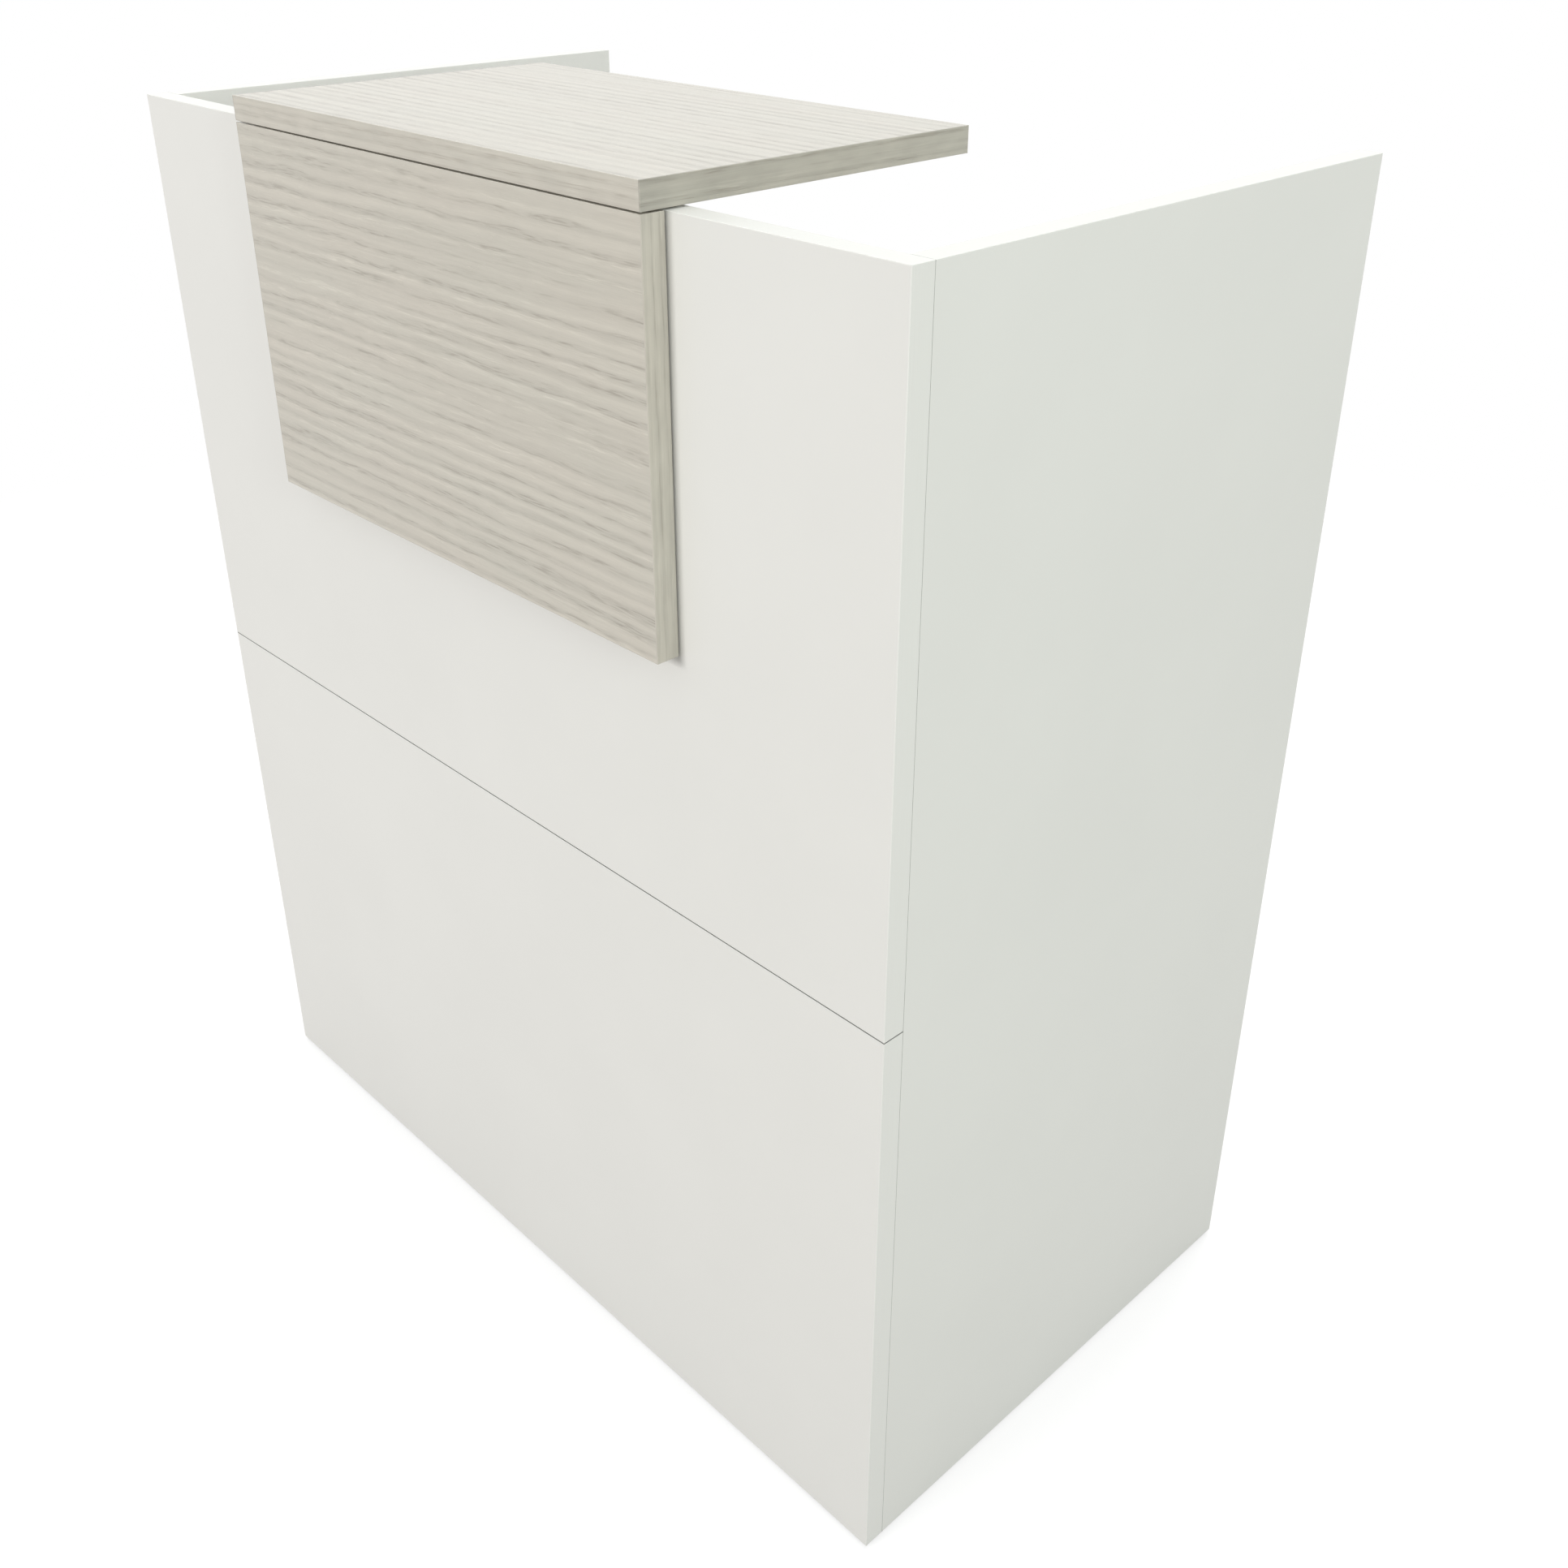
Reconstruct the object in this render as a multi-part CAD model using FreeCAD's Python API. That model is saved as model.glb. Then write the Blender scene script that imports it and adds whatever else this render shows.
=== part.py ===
import FreeCAD, Part
import math
import os
from enum import IntEnum

# Shop counter of white faced board with an oak-effect accent panel and transaction shelf.
# Millimetres, +Z up. The customers' side faces -Y. The origin lies on the floor, under the counter's middle.

# Carcass
counter_width = 900.0
carcass_depth = 500.0
carcass_height = 1040.0
white_board = 19.0
front_seam = 0.5

# Edging glued round the boards
edging = 1.0
edging_ease = 0.4

# Oak-effect boards
oak_board = 19.0
oak_width = 500.0
shelf_depth = 300.0
accent_height = 300.0
accent_gap = 1.0

# Staff's work surface, and the rail behind the front joint
work_height = 740.0
work_setback = 30.0
rail_height = 80.0
rail_end_gap = 1.0

# Fits and cuts
fit_gap = 0.05
end_gap = 0.5
overrun = 2.0

# Dowels
dowel_radius = 4.0
dowel_length = 30.0
dowel_in_face = 10.0
dowel_chamfer = 1.0
dowel_from_cam = 50.0

# Cam locks and their bolts
cam_radius = 7.5
cam_length = 12.5
cam_recess = 0.5
cam_from_edge = 34.0
cam_end_inset = 100.0
cam_socket_radius = 2.5
cam_socket_depth = 2.5
bolt_thread_radius = 2.5
bolt_grip = 11.0
bolt_collar_radius = 3.5
bolt_collar = 2.0
bolt_shaft_radius = 2.25
bolt_head_radius = 3.2
bolt_head = 5.0
bolt_hole_radius = 4.0
bolt_play = 0.5
cap_radius = 8.5
cap_flange = 1.0

# Work surface joints
work_cam_inset = 80.0
work_front_dowel_spacing = 250.0

# Wood screws
screw_radius = 2.0
screw_head_radius = 4.0
screw_head = 2.4
screw_point = 3.0
screw_bite = 12.0
screw_slot = 1.0
screw_slot_depth = 1.2

# Places of the rail screws, the seam dowels and the accent screws
rail_screw_rise = 25.0
rail_screw_spacing = 230.0
seam_dowel_spacing = 200.0
accent_screw_inset = 60.0
spacer_radius = 7.0

# Shelf brackets
bracket_sheet = 1.2
bracket_web = 2.0
bracket_width = 40.0
bracket_spacing = 200.0
bracket_reach = 120.0
bracket_drop = 120.0
bracket_tip = 12.0
bracket_setback = 3.0
bracket_corner = 5.0
bracket_screw_offset = 12.0
bracket_screw_inset = 22.0

# Levelling feet
floor_gap = 3.0
foot_inset = 28.0
foot_end_inset = 45.0
foot_travel = 12.0
pad_radius = 18.0
pad_rim = 3.0
pad_height = 10.0
boss_radius = 8.0
neck_radius = 3.0
neck_length = 6.0
stem_radius = 4.0
stem_spare = 5.0
stem_slot = 1.2
stem_slot_depth = 2.0
collar_flats = 13.0
collar_height = 6.0
nut_flats = 15.0
nut_height = 10.0
foot_sheet = 2.5
foot_bracket_width = 50.0
foot_bracket_reach = 46.0
foot_bracket_height = 50.0
foot_bracket_corner = 6.0
foot_screw_offset = 15.0
foot_screw_rise = 18.0
seat_gap = 0.1

# Planes of the counter, worked out from the sizes above
half_width = counter_width / 2
overall_depth = oak_board + accent_gap + carcass_depth
accent_front = -overall_depth / 2
front_face = accent_front + oak_board + accent_gap
inner_front = front_face + white_board
back_edge = overall_depth / 2
inner_side = half_width - white_board
panel_bottom = floor_gap
panel_top = panel_bottom + carcass_height
seam_middle = panel_bottom + carcass_height / 2
lower_top = seam_middle - front_seam / 2
upper_bottom = seam_middle + front_seam / 2
work_top = work_height
work_bottom = work_top - white_board
work_middle = work_top - white_board / 2
work_back = back_edge - work_setback
rail_back = inner_front + white_board
shelf_bottom = panel_top + bracket_sheet
shelf_top = shelf_bottom + oak_board
foot_seat = pad_height + seat_gap + collar_height + seat_gap

X, Y, Z = range(3)
along_x = FreeCAD.Vector(1, 0, 0)
along_y = FreeCAD.Vector(0, 1, 0)
along_z = FreeCAD.Vector(0, 0, 1)


class Hand(IntEnum):
    """The low and the high end along an axis, and so the counter's two sides."""

    LEFT = -1
    RIGHT = 1


def vector(x, y, z):
    """A point or direction in the counter's frame."""
    return FreeCAD.Vector(x, y, z)


def block(low, high):
    """A rectangular solid between two corners."""
    size = [top - bottom for bottom, top in zip(low, high)]
    return Part.makeBox(*size, vector(*low))


def place(shape, origin, along, towards):
    """Move a shape from its own frame: its Z goes along one direction, its X towards another."""
    turn = FreeCAD.Rotation(towards, along.cross(towards), along, "ZXY")
    moved = shape.copy()
    moved.Placement = FreeCAD.Placement(origin, turn)
    return moved


def lathe(profile):
    """Turn a closed profile of (radius, height) points about Z."""
    points = [vector(radius, 0, height) for radius, height in profile]
    face = Part.Face(Part.makePolygon(points + points[:1]))
    return face.revolve(vector(0, 0, 0), along_z, 360)


def hexagon(flats, bottom, top):
    """An upright hexagonal prism, by its size across flats."""
    reach = flats / 2 / math.cos(math.pi / 6)
    corners = [vector(reach * math.cos(k * math.pi / 3), reach * math.sin(k * math.pi / 3), bottom)
               for k in range(6)]
    return Part.Face(Part.makePolygon(corners + corners[:1])).extrude(vector(0, 0, top - bottom))


def pipe(radius, bottom, top):
    """A round bar along Z."""
    return Part.makeCylinder(radius, top - bottom, vector(0, 0, bottom))


def rounded(plate, axis, end, thickness, radius):
    """Round the two corners of a plate at one end along an axis."""
    corners = [edge for edge in plate.Edges
               if math.isclose(edge.CenterOfMass[axis], end) and math.isclose(edge.Length, thickness)]
    return plate.makeFillet(radius, corners)


def eased(strip, axis, outer, free_sides):
    """Round the edges of a strip of edging that lie on its outer face and are open to the touch."""
    edges = []
    for edge in strip.Edges:
        middle = edge.CenterOfMass
        if not math.isclose(middle[axis], outer):
            continue
        box = strip.BoundBox
        limits = ((box.XMin, box.XMax), (box.YMin, box.YMax), (box.ZMin, box.ZMax))
        sides = [(other, end) for other in (X, Y, Z) for end, limit in zip(Hand, limits[other])
                 if other != axis and math.isclose(middle[other], limit)]
        if all(side in free_sides for side in sides):
            edges.append(edge)
    return strip.makeFillet(edging_ease, edges)


def banded_board(low, high, thin, sides):
    """A board and its edging, peeled off strip by strip, so earlier strips cover the ends of later ones."""
    low, high = list(low), list(high)
    faces = [(thin, Hand.LEFT), (thin, Hand.RIGHT)]
    strips = []
    for count, (axis, end) in enumerate(sides):
        strip_low, strip_high = list(low), list(high)
        outer = high[axis] if end is Hand.RIGHT else low[axis]
        if end is Hand.RIGHT:
            high[axis] -= edging
            strip_low[axis] = high[axis]
        else:
            low[axis] += edging
            strip_high[axis] = low[axis]
        strips.append(eased(block(strip_low, strip_high), axis, outer, faces + list(sides[count + 1:])))
    return block(low, high), strips


def side_panel(hand):
    """One full-height side panel."""
    low_x, high_x = sorted((hand * inner_side, hand * half_width))
    sides = ((Z, Hand.RIGHT), (Z, Hand.LEFT), (Y, Hand.RIGHT), (Y, Hand.LEFT))
    return banded_board((low_x, inner_front, panel_bottom), (high_x, back_edge, panel_top), X, sides)


def front_panel(bottom, top):
    """One of the two front panels, which run across the side panels' front edges."""
    sides = ((X, Hand.LEFT), (X, Hand.RIGHT), (Z, Hand.RIGHT), (Z, Hand.LEFT))
    return banded_board((-half_width, front_face, bottom), (half_width, inner_front, top), Y, sides)


def accent_panel():
    """The oak-effect panel on the upper front, level with its top."""
    low = (-oak_width / 2, accent_front, panel_top - accent_height)
    high = (oak_width / 2, accent_front + oak_board, panel_top)
    return banded_board(low, high, Y, ((X, Hand.LEFT), (X, Hand.RIGHT), (Z, Hand.RIGHT), (Z, Hand.LEFT)))


def transaction_shelf():
    """The oak-effect shelf, flush with the accent panel at the front and at both ends."""
    low = (-oak_width / 2, accent_front, shelf_bottom)
    high = (oak_width / 2, accent_front + shelf_depth, shelf_top)
    return banded_board(low, high, Z, ((Y, Hand.LEFT), (Y, Hand.RIGHT), (X, Hand.LEFT), (X, Hand.RIGHT)))


def work_surface():
    """The staff's work surface, between the side panels, edged along its open back."""
    low = (-inner_side, inner_front, work_bottom)
    high = (inner_side, work_back, work_top)
    return banded_board(low, high, Z, ((Y, Hand.RIGHT),))


def seam_rail():
    """The rail that lies behind the joint of the front panels."""
    reach = inner_side - rail_end_gap
    low = (-reach, inner_front, seam_middle - rail_height / 2)
    high = (reach, rail_back, seam_middle + rail_height / 2)
    return banded_board(low, high, Y, ((Z, Hand.RIGHT), (Z, Hand.LEFT)))


def dowel(origin, along, in_face):
    """A wooden dowel across a joint plane, and the hole that takes it."""
    top = dowel_length - in_face
    pin = pipe(dowel_radius, -in_face, top)
    pin = pin.makeChamfer(dowel_chamfer, [edge for edge in pin.Edges if edge.Closed])
    hole = pipe(dowel_radius + fit_gap, -in_face - end_gap, top + end_gap)
    towards = along_x if along.cross(along_x).Length else along_y
    return place(pin, origin, along, towards), place(hole, origin, along, towards)


def cam_lock():
    """A cam housing in its own frame: the bolt comes up Z at mid board, the open face is towards X."""
    face = white_board / 2 - cam_recess
    inner = face - cam_length
    body = Part.makeCylinder(cam_radius, cam_length, vector(inner, 0, cam_from_edge), along_x)
    socket_floor = vector(face - cam_socket_depth, 0, cam_from_edge)
    socket = Part.makeCylinder(cam_socket_radius, cam_socket_depth, socket_floor, along_x)
    shaft_slot = bolt_shaft_radius + bolt_play
    head_room = bolt_head_radius + bolt_play
    half_head = bolt_head / 2 + bolt_play
    channel = block((inner - overrun, -shaft_slot, cam_from_edge - cam_radius - overrun),
                    (shaft_slot, shaft_slot, cam_from_edge))
    pocket = block((inner - overrun, -head_room, cam_from_edge - half_head),
                   (head_room, head_room, cam_from_edge + half_head))
    return body.cut([socket, channel, pocket])


def cam_bolt():
    """A cam bolt in the same frame: its thread bites below Z zero, its head lies in the cam."""
    head_low = cam_from_edge - bolt_head / 2
    head_high = cam_from_edge + bolt_head / 2
    return lathe([(0, -bolt_grip), (bolt_thread_radius, -bolt_grip), (bolt_thread_radius, 0),
                  (bolt_collar_radius, 0), (bolt_collar_radius, bolt_collar),
                  (bolt_shaft_radius, bolt_collar), (bolt_shaft_radius, head_low),
                  (bolt_head_radius, head_low), (bolt_head_radius, head_high), (0, head_high)])


def cam_cap():
    """The cover cap of a cam: a thin disc on the board with a spigot in the cam's socket."""
    face = white_board / 2
    crown = face + cap_flange
    disc = Part.makeCylinder(cap_radius, cap_flange, vector(face, 0, cam_from_edge), along_x)
    rim = [edge for edge in disc.Edges if edge.Closed and math.isclose(edge.CenterOfMass.x, crown)]
    spigot_length = cam_recess + cam_socket_depth - end_gap
    spigot = Part.makeCylinder(cam_socket_radius - fit_gap, spigot_length,
                               vector(face - spigot_length, 0, cam_from_edge), along_x)
    return disc.makeFillet(edging_ease, rim).fuse(spigot)


def cam_drilling():
    """The holes for one cam joint: the bolt's thread, its shaft and the cam housing."""
    bore_length = cam_recess + cam_length
    bore_floor = vector(white_board / 2 - bore_length, 0, cam_from_edge)
    bore = Part.makeCylinder(cam_radius + fit_gap, bore_length + overrun, bore_floor, along_x)
    thread = pipe(bolt_thread_radius + fit_gap, -bolt_grip - end_gap, 0)
    shaft = pipe(bolt_hole_radius, 0, cam_from_edge)
    return bore.fuse([thread, shaft])


def wood_screw(length):
    """A pan head screw in its own frame: its head sits on Z zero, its shank points down."""
    crown_share = 0.6
    body = lathe([(0, -length), (screw_radius, screw_point - length), (screw_radius, 0),
                  (screw_head_radius, 0), (screw_head_radius, screw_head / 2),
                  (screw_head_radius * crown_share, screw_head), (0, screw_head)])
    reach = screw_head_radius / 2
    low, high = screw_head - screw_slot_depth, screw_head + overrun
    slots = [block((-reach, -screw_slot / 2, low), (reach, screw_slot / 2, high)),
             block((-screw_slot / 2, -reach, low), (screw_slot / 2, reach, high))]
    return body.cut(slots)


def screw_at(seat, out, length):
    """A screw with its head on a seat, and the hole that takes it."""
    towards = along_x if out.cross(along_x).Length else along_y
    hole = pipe(screw_radius + fit_gap, -length - end_gap, overrun)
    return place(wood_screw(length), seat, out, towards), place(hole, seat, out, towards)


def corner_joints():
    """Cam joints and dowels of the side panels with the front panels: origin, along and towards of each."""
    cams, dowels = [], []
    middle = inner_side + white_board / 2
    for hand in Hand:
        for bottom, top in ((panel_bottom, lower_top), (upper_bottom, panel_top)):
            for end, level in ((1, bottom + cam_end_inset), (-1, top - cam_end_inset)):
                origin = vector(hand * middle, inner_front, level)
                cams.append((origin, along_y, -hand * along_x))
                dowels.append((origin + end * dowel_from_cam * along_z, along_y, dowel_in_face))
    return cams, dowels


def work_joints():
    """Cam joints and dowels of the work surface with the side panels, and dowels into the upper front."""
    cams, dowels = [], []
    for hand in Hand:
        for end, level in ((1, inner_front + work_cam_inset), (-1, work_back - work_cam_inset)):
            origin = vector(hand * inner_side, level, work_middle)
            cams.append((origin, -hand * along_x, -1 * along_z))
            dowels.append((origin + end * dowel_from_cam * along_y, -hand * along_x, dowel_in_face))
    for step in (-1, 0, 1):
        origin = vector(step * work_front_dowel_spacing, inner_front, work_middle)
        dowels.append((origin, along_y, dowel_in_face))
    return cams, dowels


def spread(spacing, count):
    """Places of a row, centred on zero."""
    return [(k - (count - 1) / 2) * spacing for k in range(count)]


def seam_dowels():
    """Dowels that line up the two front panels at their joint."""
    middle = front_face + white_board / 2
    return [(vector(x, middle, seam_middle), along_z, dowel_length / 2)
            for x in spread(seam_dowel_spacing, 4)]


def rail_screws():
    """Screws through the rail into both front panels."""
    length = white_board + screw_bite
    return [screw_at(vector(x, rail_back, seam_middle + rise), along_y, length)
            for x in spread(rail_screw_spacing, 4) for rise in (-rail_screw_rise, rail_screw_rise)]


def accent_places():
    """Where the accent panel is screwed to the upper front: x and z of each screw."""
    reach = oak_width / 2 - accent_screw_inset
    levels = (panel_top - accent_height + accent_screw_inset, panel_top - accent_screw_inset)
    return [(x, z) for x in (-reach, reach) for z in levels]


def accent_screws():
    """Screws from inside, through the upper front and the spacers into the accent panel."""
    length = white_board + accent_gap + screw_bite
    return [screw_at(vector(x, inner_front, z), along_y, length) for x, z in accent_places()]


def accent_spacers():
    """Washers that hold the accent panel off the front."""
    hole = pipe(screw_radius + fit_gap, -overrun, accent_gap + overrun)
    ring = pipe(spacer_radius, 0, accent_gap).cut(hole)
    return [place(ring, vector(x, front_face, z), -1 * along_y, along_x) for x, z in accent_places()]


def shelf_bracket(middle):
    """A welded steel bracket: its flange lies on the upper front's top edge and carries the shelf."""
    half = bracket_width / 2
    reach = inner_front + bracket_reach
    foot = panel_top - bracket_drop
    toe = front_face + bracket_setback
    flange = block((middle - half, toe, panel_top), (middle + half, reach, shelf_bottom))
    flange = rounded(flange, Y, reach, bracket_sheet, bracket_corner)
    leg = block((middle - half, inner_front, foot), (middle + half, inner_front + bracket_sheet, panel_top))
    leg = rounded(leg, Z, foot, bracket_sheet, bracket_corner)
    outline = [(inner_front, panel_top), (reach, panel_top), (reach, panel_top - bracket_tip),
               (inner_front + bracket_tip, foot), (inner_front, foot)]
    points = [vector(middle - bracket_web / 2, y, z) for y, z in outline]
    web = Part.Face(Part.makePolygon(points + points[:1])).extrude(vector(bracket_web, 0, 0))
    return flange.fuse([leg, web]).removeSplitter()


def bracket_screws(middle):
    """Screws of one shelf bracket, up into the shelf and forward into the upper front."""
    length = bracket_sheet + screw_bite
    leg_face = inner_front + bracket_sheet
    near, far = inner_front + bracket_screw_inset, inner_front + bracket_reach - bracket_screw_inset
    high, low = panel_top - bracket_screw_inset, panel_top - bracket_drop + bracket_screw_inset
    screws = []
    for x in (middle - bracket_screw_offset, middle + bracket_screw_offset):
        screws += [screw_at(vector(x, y, panel_top), -1 * along_z, length) for y in (near, far)]
        screws += [screw_at(vector(x, leg_face, z), along_y, length) for z in (high, low)]
    return screws


def foot_places():
    """Name, side and middle of each levelling foot."""
    return [(f"{end}_{side}", hand, vector(hand * (inner_side - foot_inset), y, 0))
            for end, y in (("front", inner_front + foot_end_inset), ("back", back_edge - foot_end_inset))
            for side, hand in (("left", Hand.LEFT), ("right", Hand.RIGHT))]


def foot_bracket(hand, middle):
    """A steel angle on the side panel, with a nut welded over its hole."""
    half = foot_bracket_width / 2
    wall = hand * inner_side
    low_y, high_y = middle.y - half, middle.y + half
    tip = wall - hand * foot_bracket_reach
    top = foot_seat + foot_bracket_height
    leg_x = sorted((wall, wall - hand * foot_sheet))
    ledge_x = sorted((wall, tip))
    leg = block((leg_x[0], low_y, foot_seat), (leg_x[1], high_y, top))
    leg = rounded(leg, Z, top, foot_sheet, foot_bracket_corner)
    ledge = block((ledge_x[0], low_y, foot_seat), (ledge_x[1], high_y, foot_seat + foot_sheet))
    ledge = rounded(ledge, X, tip, foot_sheet, foot_bracket_corner)
    nut = hexagon(nut_flats, foot_seat + foot_sheet, foot_seat + foot_sheet + nut_height)
    nut.translate(middle)
    bore = pipe(stem_radius + fit_gap, foot_seat - overrun, foot_seat + foot_sheet + nut_height + overrun)
    bore.translate(middle)
    return leg.fuse([ledge, nut]).removeSplitter().cut(bore)


def foot_screws(hand, middle):
    """Screws of one foot bracket into the side panel."""
    length = foot_sheet + screw_bite
    seat_x = hand * (inner_side - foot_sheet)
    top = foot_seat + foot_bracket_height
    return [screw_at(vector(seat_x, middle.y + offset, top - foot_screw_rise), -hand * along_x, length)
            for offset in (-foot_screw_offset, foot_screw_offset)]


def foot_stem(middle):
    """A threaded stem: neck in the pad, collar for a wrench, shank through the nut, slot at the top."""
    collar_low = pad_height + seat_gap
    collar_top = collar_low + collar_height
    top = foot_seat + foot_sheet + nut_height + foot_travel + stem_spare
    neck = pipe(neck_radius, collar_low - neck_length, collar_low)
    shank = pipe(stem_radius, collar_top, top)
    slot = block((-stem_radius - overrun, -stem_slot / 2, top - stem_slot_depth),
                 (stem_radius + overrun, stem_slot / 2, top + overrun))
    stem = hexagon(collar_flats, collar_low, collar_top).fuse([neck, shank.cut(slot)])
    stem.translate(middle)
    return stem


def foot_pad(middle):
    """A swivel pad with a blind bore for the stem's neck."""
    pad = lathe([(0, 0), (pad_radius, 0), (pad_radius, pad_rim),
                 (boss_radius, pad_height), (0, pad_height)])
    pad = pad.cut(pipe(neck_radius + fit_gap, pad_height - neck_length, pad_height + overrun))
    pad.translate(middle)
    return pad


def drilled(shape, holes):
    """A piece with every hole that reaches it."""
    reaching = [hole for hole in holes if shape.BoundBox.intersect(hole.BoundBox)]
    return shape.cut(reaching) if reaching else shape


def save(name, solids):
    """Write one piece, or a group of like pieces, to its own file."""
    shape = solids[0] if len(solids) == 1 else Part.makeCompound(solids)
    shape.exportStep(f"parts/{name}.step")


def build():
    """Make every piece and write it."""
    boards = {
        "left_side": side_panel(Hand.LEFT),
        "right_side": side_panel(Hand.RIGHT),
        "upper_front": front_panel(upper_bottom, panel_top),
        "lower_front": front_panel(panel_bottom, lower_top),
        "accent": accent_panel(),
        "transaction_shelf": transaction_shelf(),
        "work_surface": work_surface(),
        "seam_rail": seam_rail(),
    }
    whole_names = ("transaction_shelf", "work_surface", "seam_rail")
    corner_cams, corner_dowels = corner_joints()
    work_cams, work_dowels = work_joints()
    cams = corner_cams + work_cams
    dowels = [dowel(*spot) for spot in corner_dowels + work_dowels + seam_dowels()]
    brackets = dict(zip(("left_shelf_bracket", "right_shelf_bracket"), spread(bracket_spacing, 2)))
    screws = {
        "rail_screws": rail_screws(),
        "accent_screws": accent_screws(),
        "shelf_bracket_screws": [screw for middle in brackets.values() for screw in bracket_screws(middle)],
        "foot_bracket_screws": [screw for name, *spot in foot_places() for screw in foot_screws(*spot)],
    }
    holes = [hole for pin, hole in dowels] + [place(cam_drilling(), *spot) for spot in cams]
    holes += [hole for group in screws.values() for screw, hole in group]

    for name, (core, strips) in boards.items():
        board_name = name if name in whole_names else f"{name}_panel"
        save(board_name, [drilled(core, holes)])
        save(f"{name}_edging", [drilled(strip, holes) for strip in strips])
    save("wood_dowels", [pin for pin, hole in dowels])
    save("cam_locks", [place(cam_lock(), *spot) for spot in cams])
    save("cam_bolts", [place(cam_bolt(), *spot) for spot in cams])
    save("cam_caps", [place(cam_cap(), *spot) for spot in cams])
    save("accent_spacers", accent_spacers())
    for name, group in screws.items():
        save(name, [screw for screw, hole in group])
    for name, middle in brackets.items():
        save(name, [drilled(shelf_bracket(middle), holes)])
    for name, hand, middle in foot_places():
        save(f"{name}_foot_bracket", [drilled(foot_bracket(hand, middle), holes)])
        save(f"{name}_foot_stem", [foot_stem(middle)])
        save(f"{name}_foot_pad", [foot_pad(middle)])


os.makedirs("parts", exist_ok=True)
build()
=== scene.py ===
"""Looks of a white shop counter with oak-effect boards: its finishes, fittings, floor, light and camera."""

import logging
import math
from dataclasses import dataclass, replace
from enum import Enum
from typing import Sequence

import bmesh
import bpy
from bpy.types import Material, Mesh, NodeSocket, Object
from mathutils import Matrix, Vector


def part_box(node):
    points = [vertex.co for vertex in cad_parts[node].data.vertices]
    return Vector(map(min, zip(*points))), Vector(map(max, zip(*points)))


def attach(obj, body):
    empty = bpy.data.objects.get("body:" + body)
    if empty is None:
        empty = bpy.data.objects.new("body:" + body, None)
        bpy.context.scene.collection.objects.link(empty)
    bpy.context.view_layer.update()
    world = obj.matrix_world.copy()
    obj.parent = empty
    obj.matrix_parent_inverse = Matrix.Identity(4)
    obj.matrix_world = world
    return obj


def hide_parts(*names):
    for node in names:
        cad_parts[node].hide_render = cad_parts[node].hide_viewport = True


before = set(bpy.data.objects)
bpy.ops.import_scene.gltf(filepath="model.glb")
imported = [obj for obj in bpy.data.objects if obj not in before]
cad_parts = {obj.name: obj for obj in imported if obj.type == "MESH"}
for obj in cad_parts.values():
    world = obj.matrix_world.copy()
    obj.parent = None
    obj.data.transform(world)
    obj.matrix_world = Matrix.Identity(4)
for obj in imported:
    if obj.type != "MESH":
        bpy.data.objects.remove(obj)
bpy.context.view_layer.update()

LOG = logging.getLogger("counter")
MM = 0.001
SHARP_EDGE = math.radians(35.0)

Triple = tuple[float, float, float]
Colour = tuple[float, float, float, float]
Range = tuple[float, float]
Feed = NodeSocket | float | int | tuple

WHOLE: Range = (0.0, 1.0)
NOISE_MIDDLE: Range = (0.3, 0.7)
NOISE_CORE: Range = (0.35, 0.65)


def evened(red: float, green: float, blue: float) -> Colour:
    """An opaque colour from its linear parts."""
    return (red, green, blue, 1.0)


def toned(colour: Colour, factor: float) -> Colour:
    """A colour made darker or lighter by a factor."""
    return evened(*(part * factor for part in colour[:3]))


def around(middle: float, spread: float) -> Range:
    """The range that reaches a spread to both sides of a middle."""
    return (middle - spread, middle + spread)


def quarter_turn(steps: int) -> list[float]:
    """The angles from 0 to a right angle, in even steps."""
    return [math.pi / 2 * step / steps for step in range(steps + 1)]


WHITE = evened(0.790, 0.789, 0.760)
OAK = evened(0.546, 0.518, 0.455)
ZINC = evened(0.700, 0.710, 0.720)
BEECH = evened(0.600, 0.430, 0.240)
NYLON = evened(0.030, 0.030, 0.031)
GREY = evened(0.120, 0.120, 0.118)
# Painted shade: a near-black blended into the edging at the board joints, standing in for the shadow in the
# gaps.
PAINTED_GAP_SHADE = evened(0.050, 0.050, 0.046)
SHOWN_WHITE = evened(1.0, 1.0, 1.0)


class Run(Enum):
    """The axis that a grain or a drawn line follows, and then the two across it."""

    WIDTH = ("X", "Y", "Z")
    DEPTH = ("Y", "X", "Z")
    HEIGHT = ("Z", "X", "Y")


class Long(Enum):
    """Which of a fitting's three extents lies along its own axis."""

    LONGEST = "longest"
    SHORTEST = "shortest"

    def axis(self, size: Vector) -> int:
        """The number of the fitting's own axis, from its extents."""
        return list(size).index(max(size) if self is Long.LONGEST else min(size))


@dataclass(frozen=True)
class Lay:
    """How a grain lies on a node, in millimetres: one run, and another beyond the ends of its board."""

    main: Run
    shift: Triple = (0.0, 0.0, 0.0)
    ends: Run | None = None
    end_axis: str = "X"
    end_middle: float = 0.0
    end_reach: float = 0.0

    @classmethod
    def round_board(cls, board: str, main: Run, ends: Run, end_axis: str) -> "Lay":
        """The lay of the edging round a board.

        Args:
            board: the board's node.
            main: the run of the strips that lie within the board's length along the end axis.
            ends: the run of the strips beyond it.
            end_axis: the axis along which the ends lie.

        Returns:
            The lay.
        """
        axis = "XYZ".index(end_axis)
        low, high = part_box(board)
        return cls(main, ends=ends, end_axis=end_axis, end_middle=(low[axis] + high[axis]) / 2 / MM,
                   end_reach=(high[axis] - low[axis]) / 2 / MM)


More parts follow.
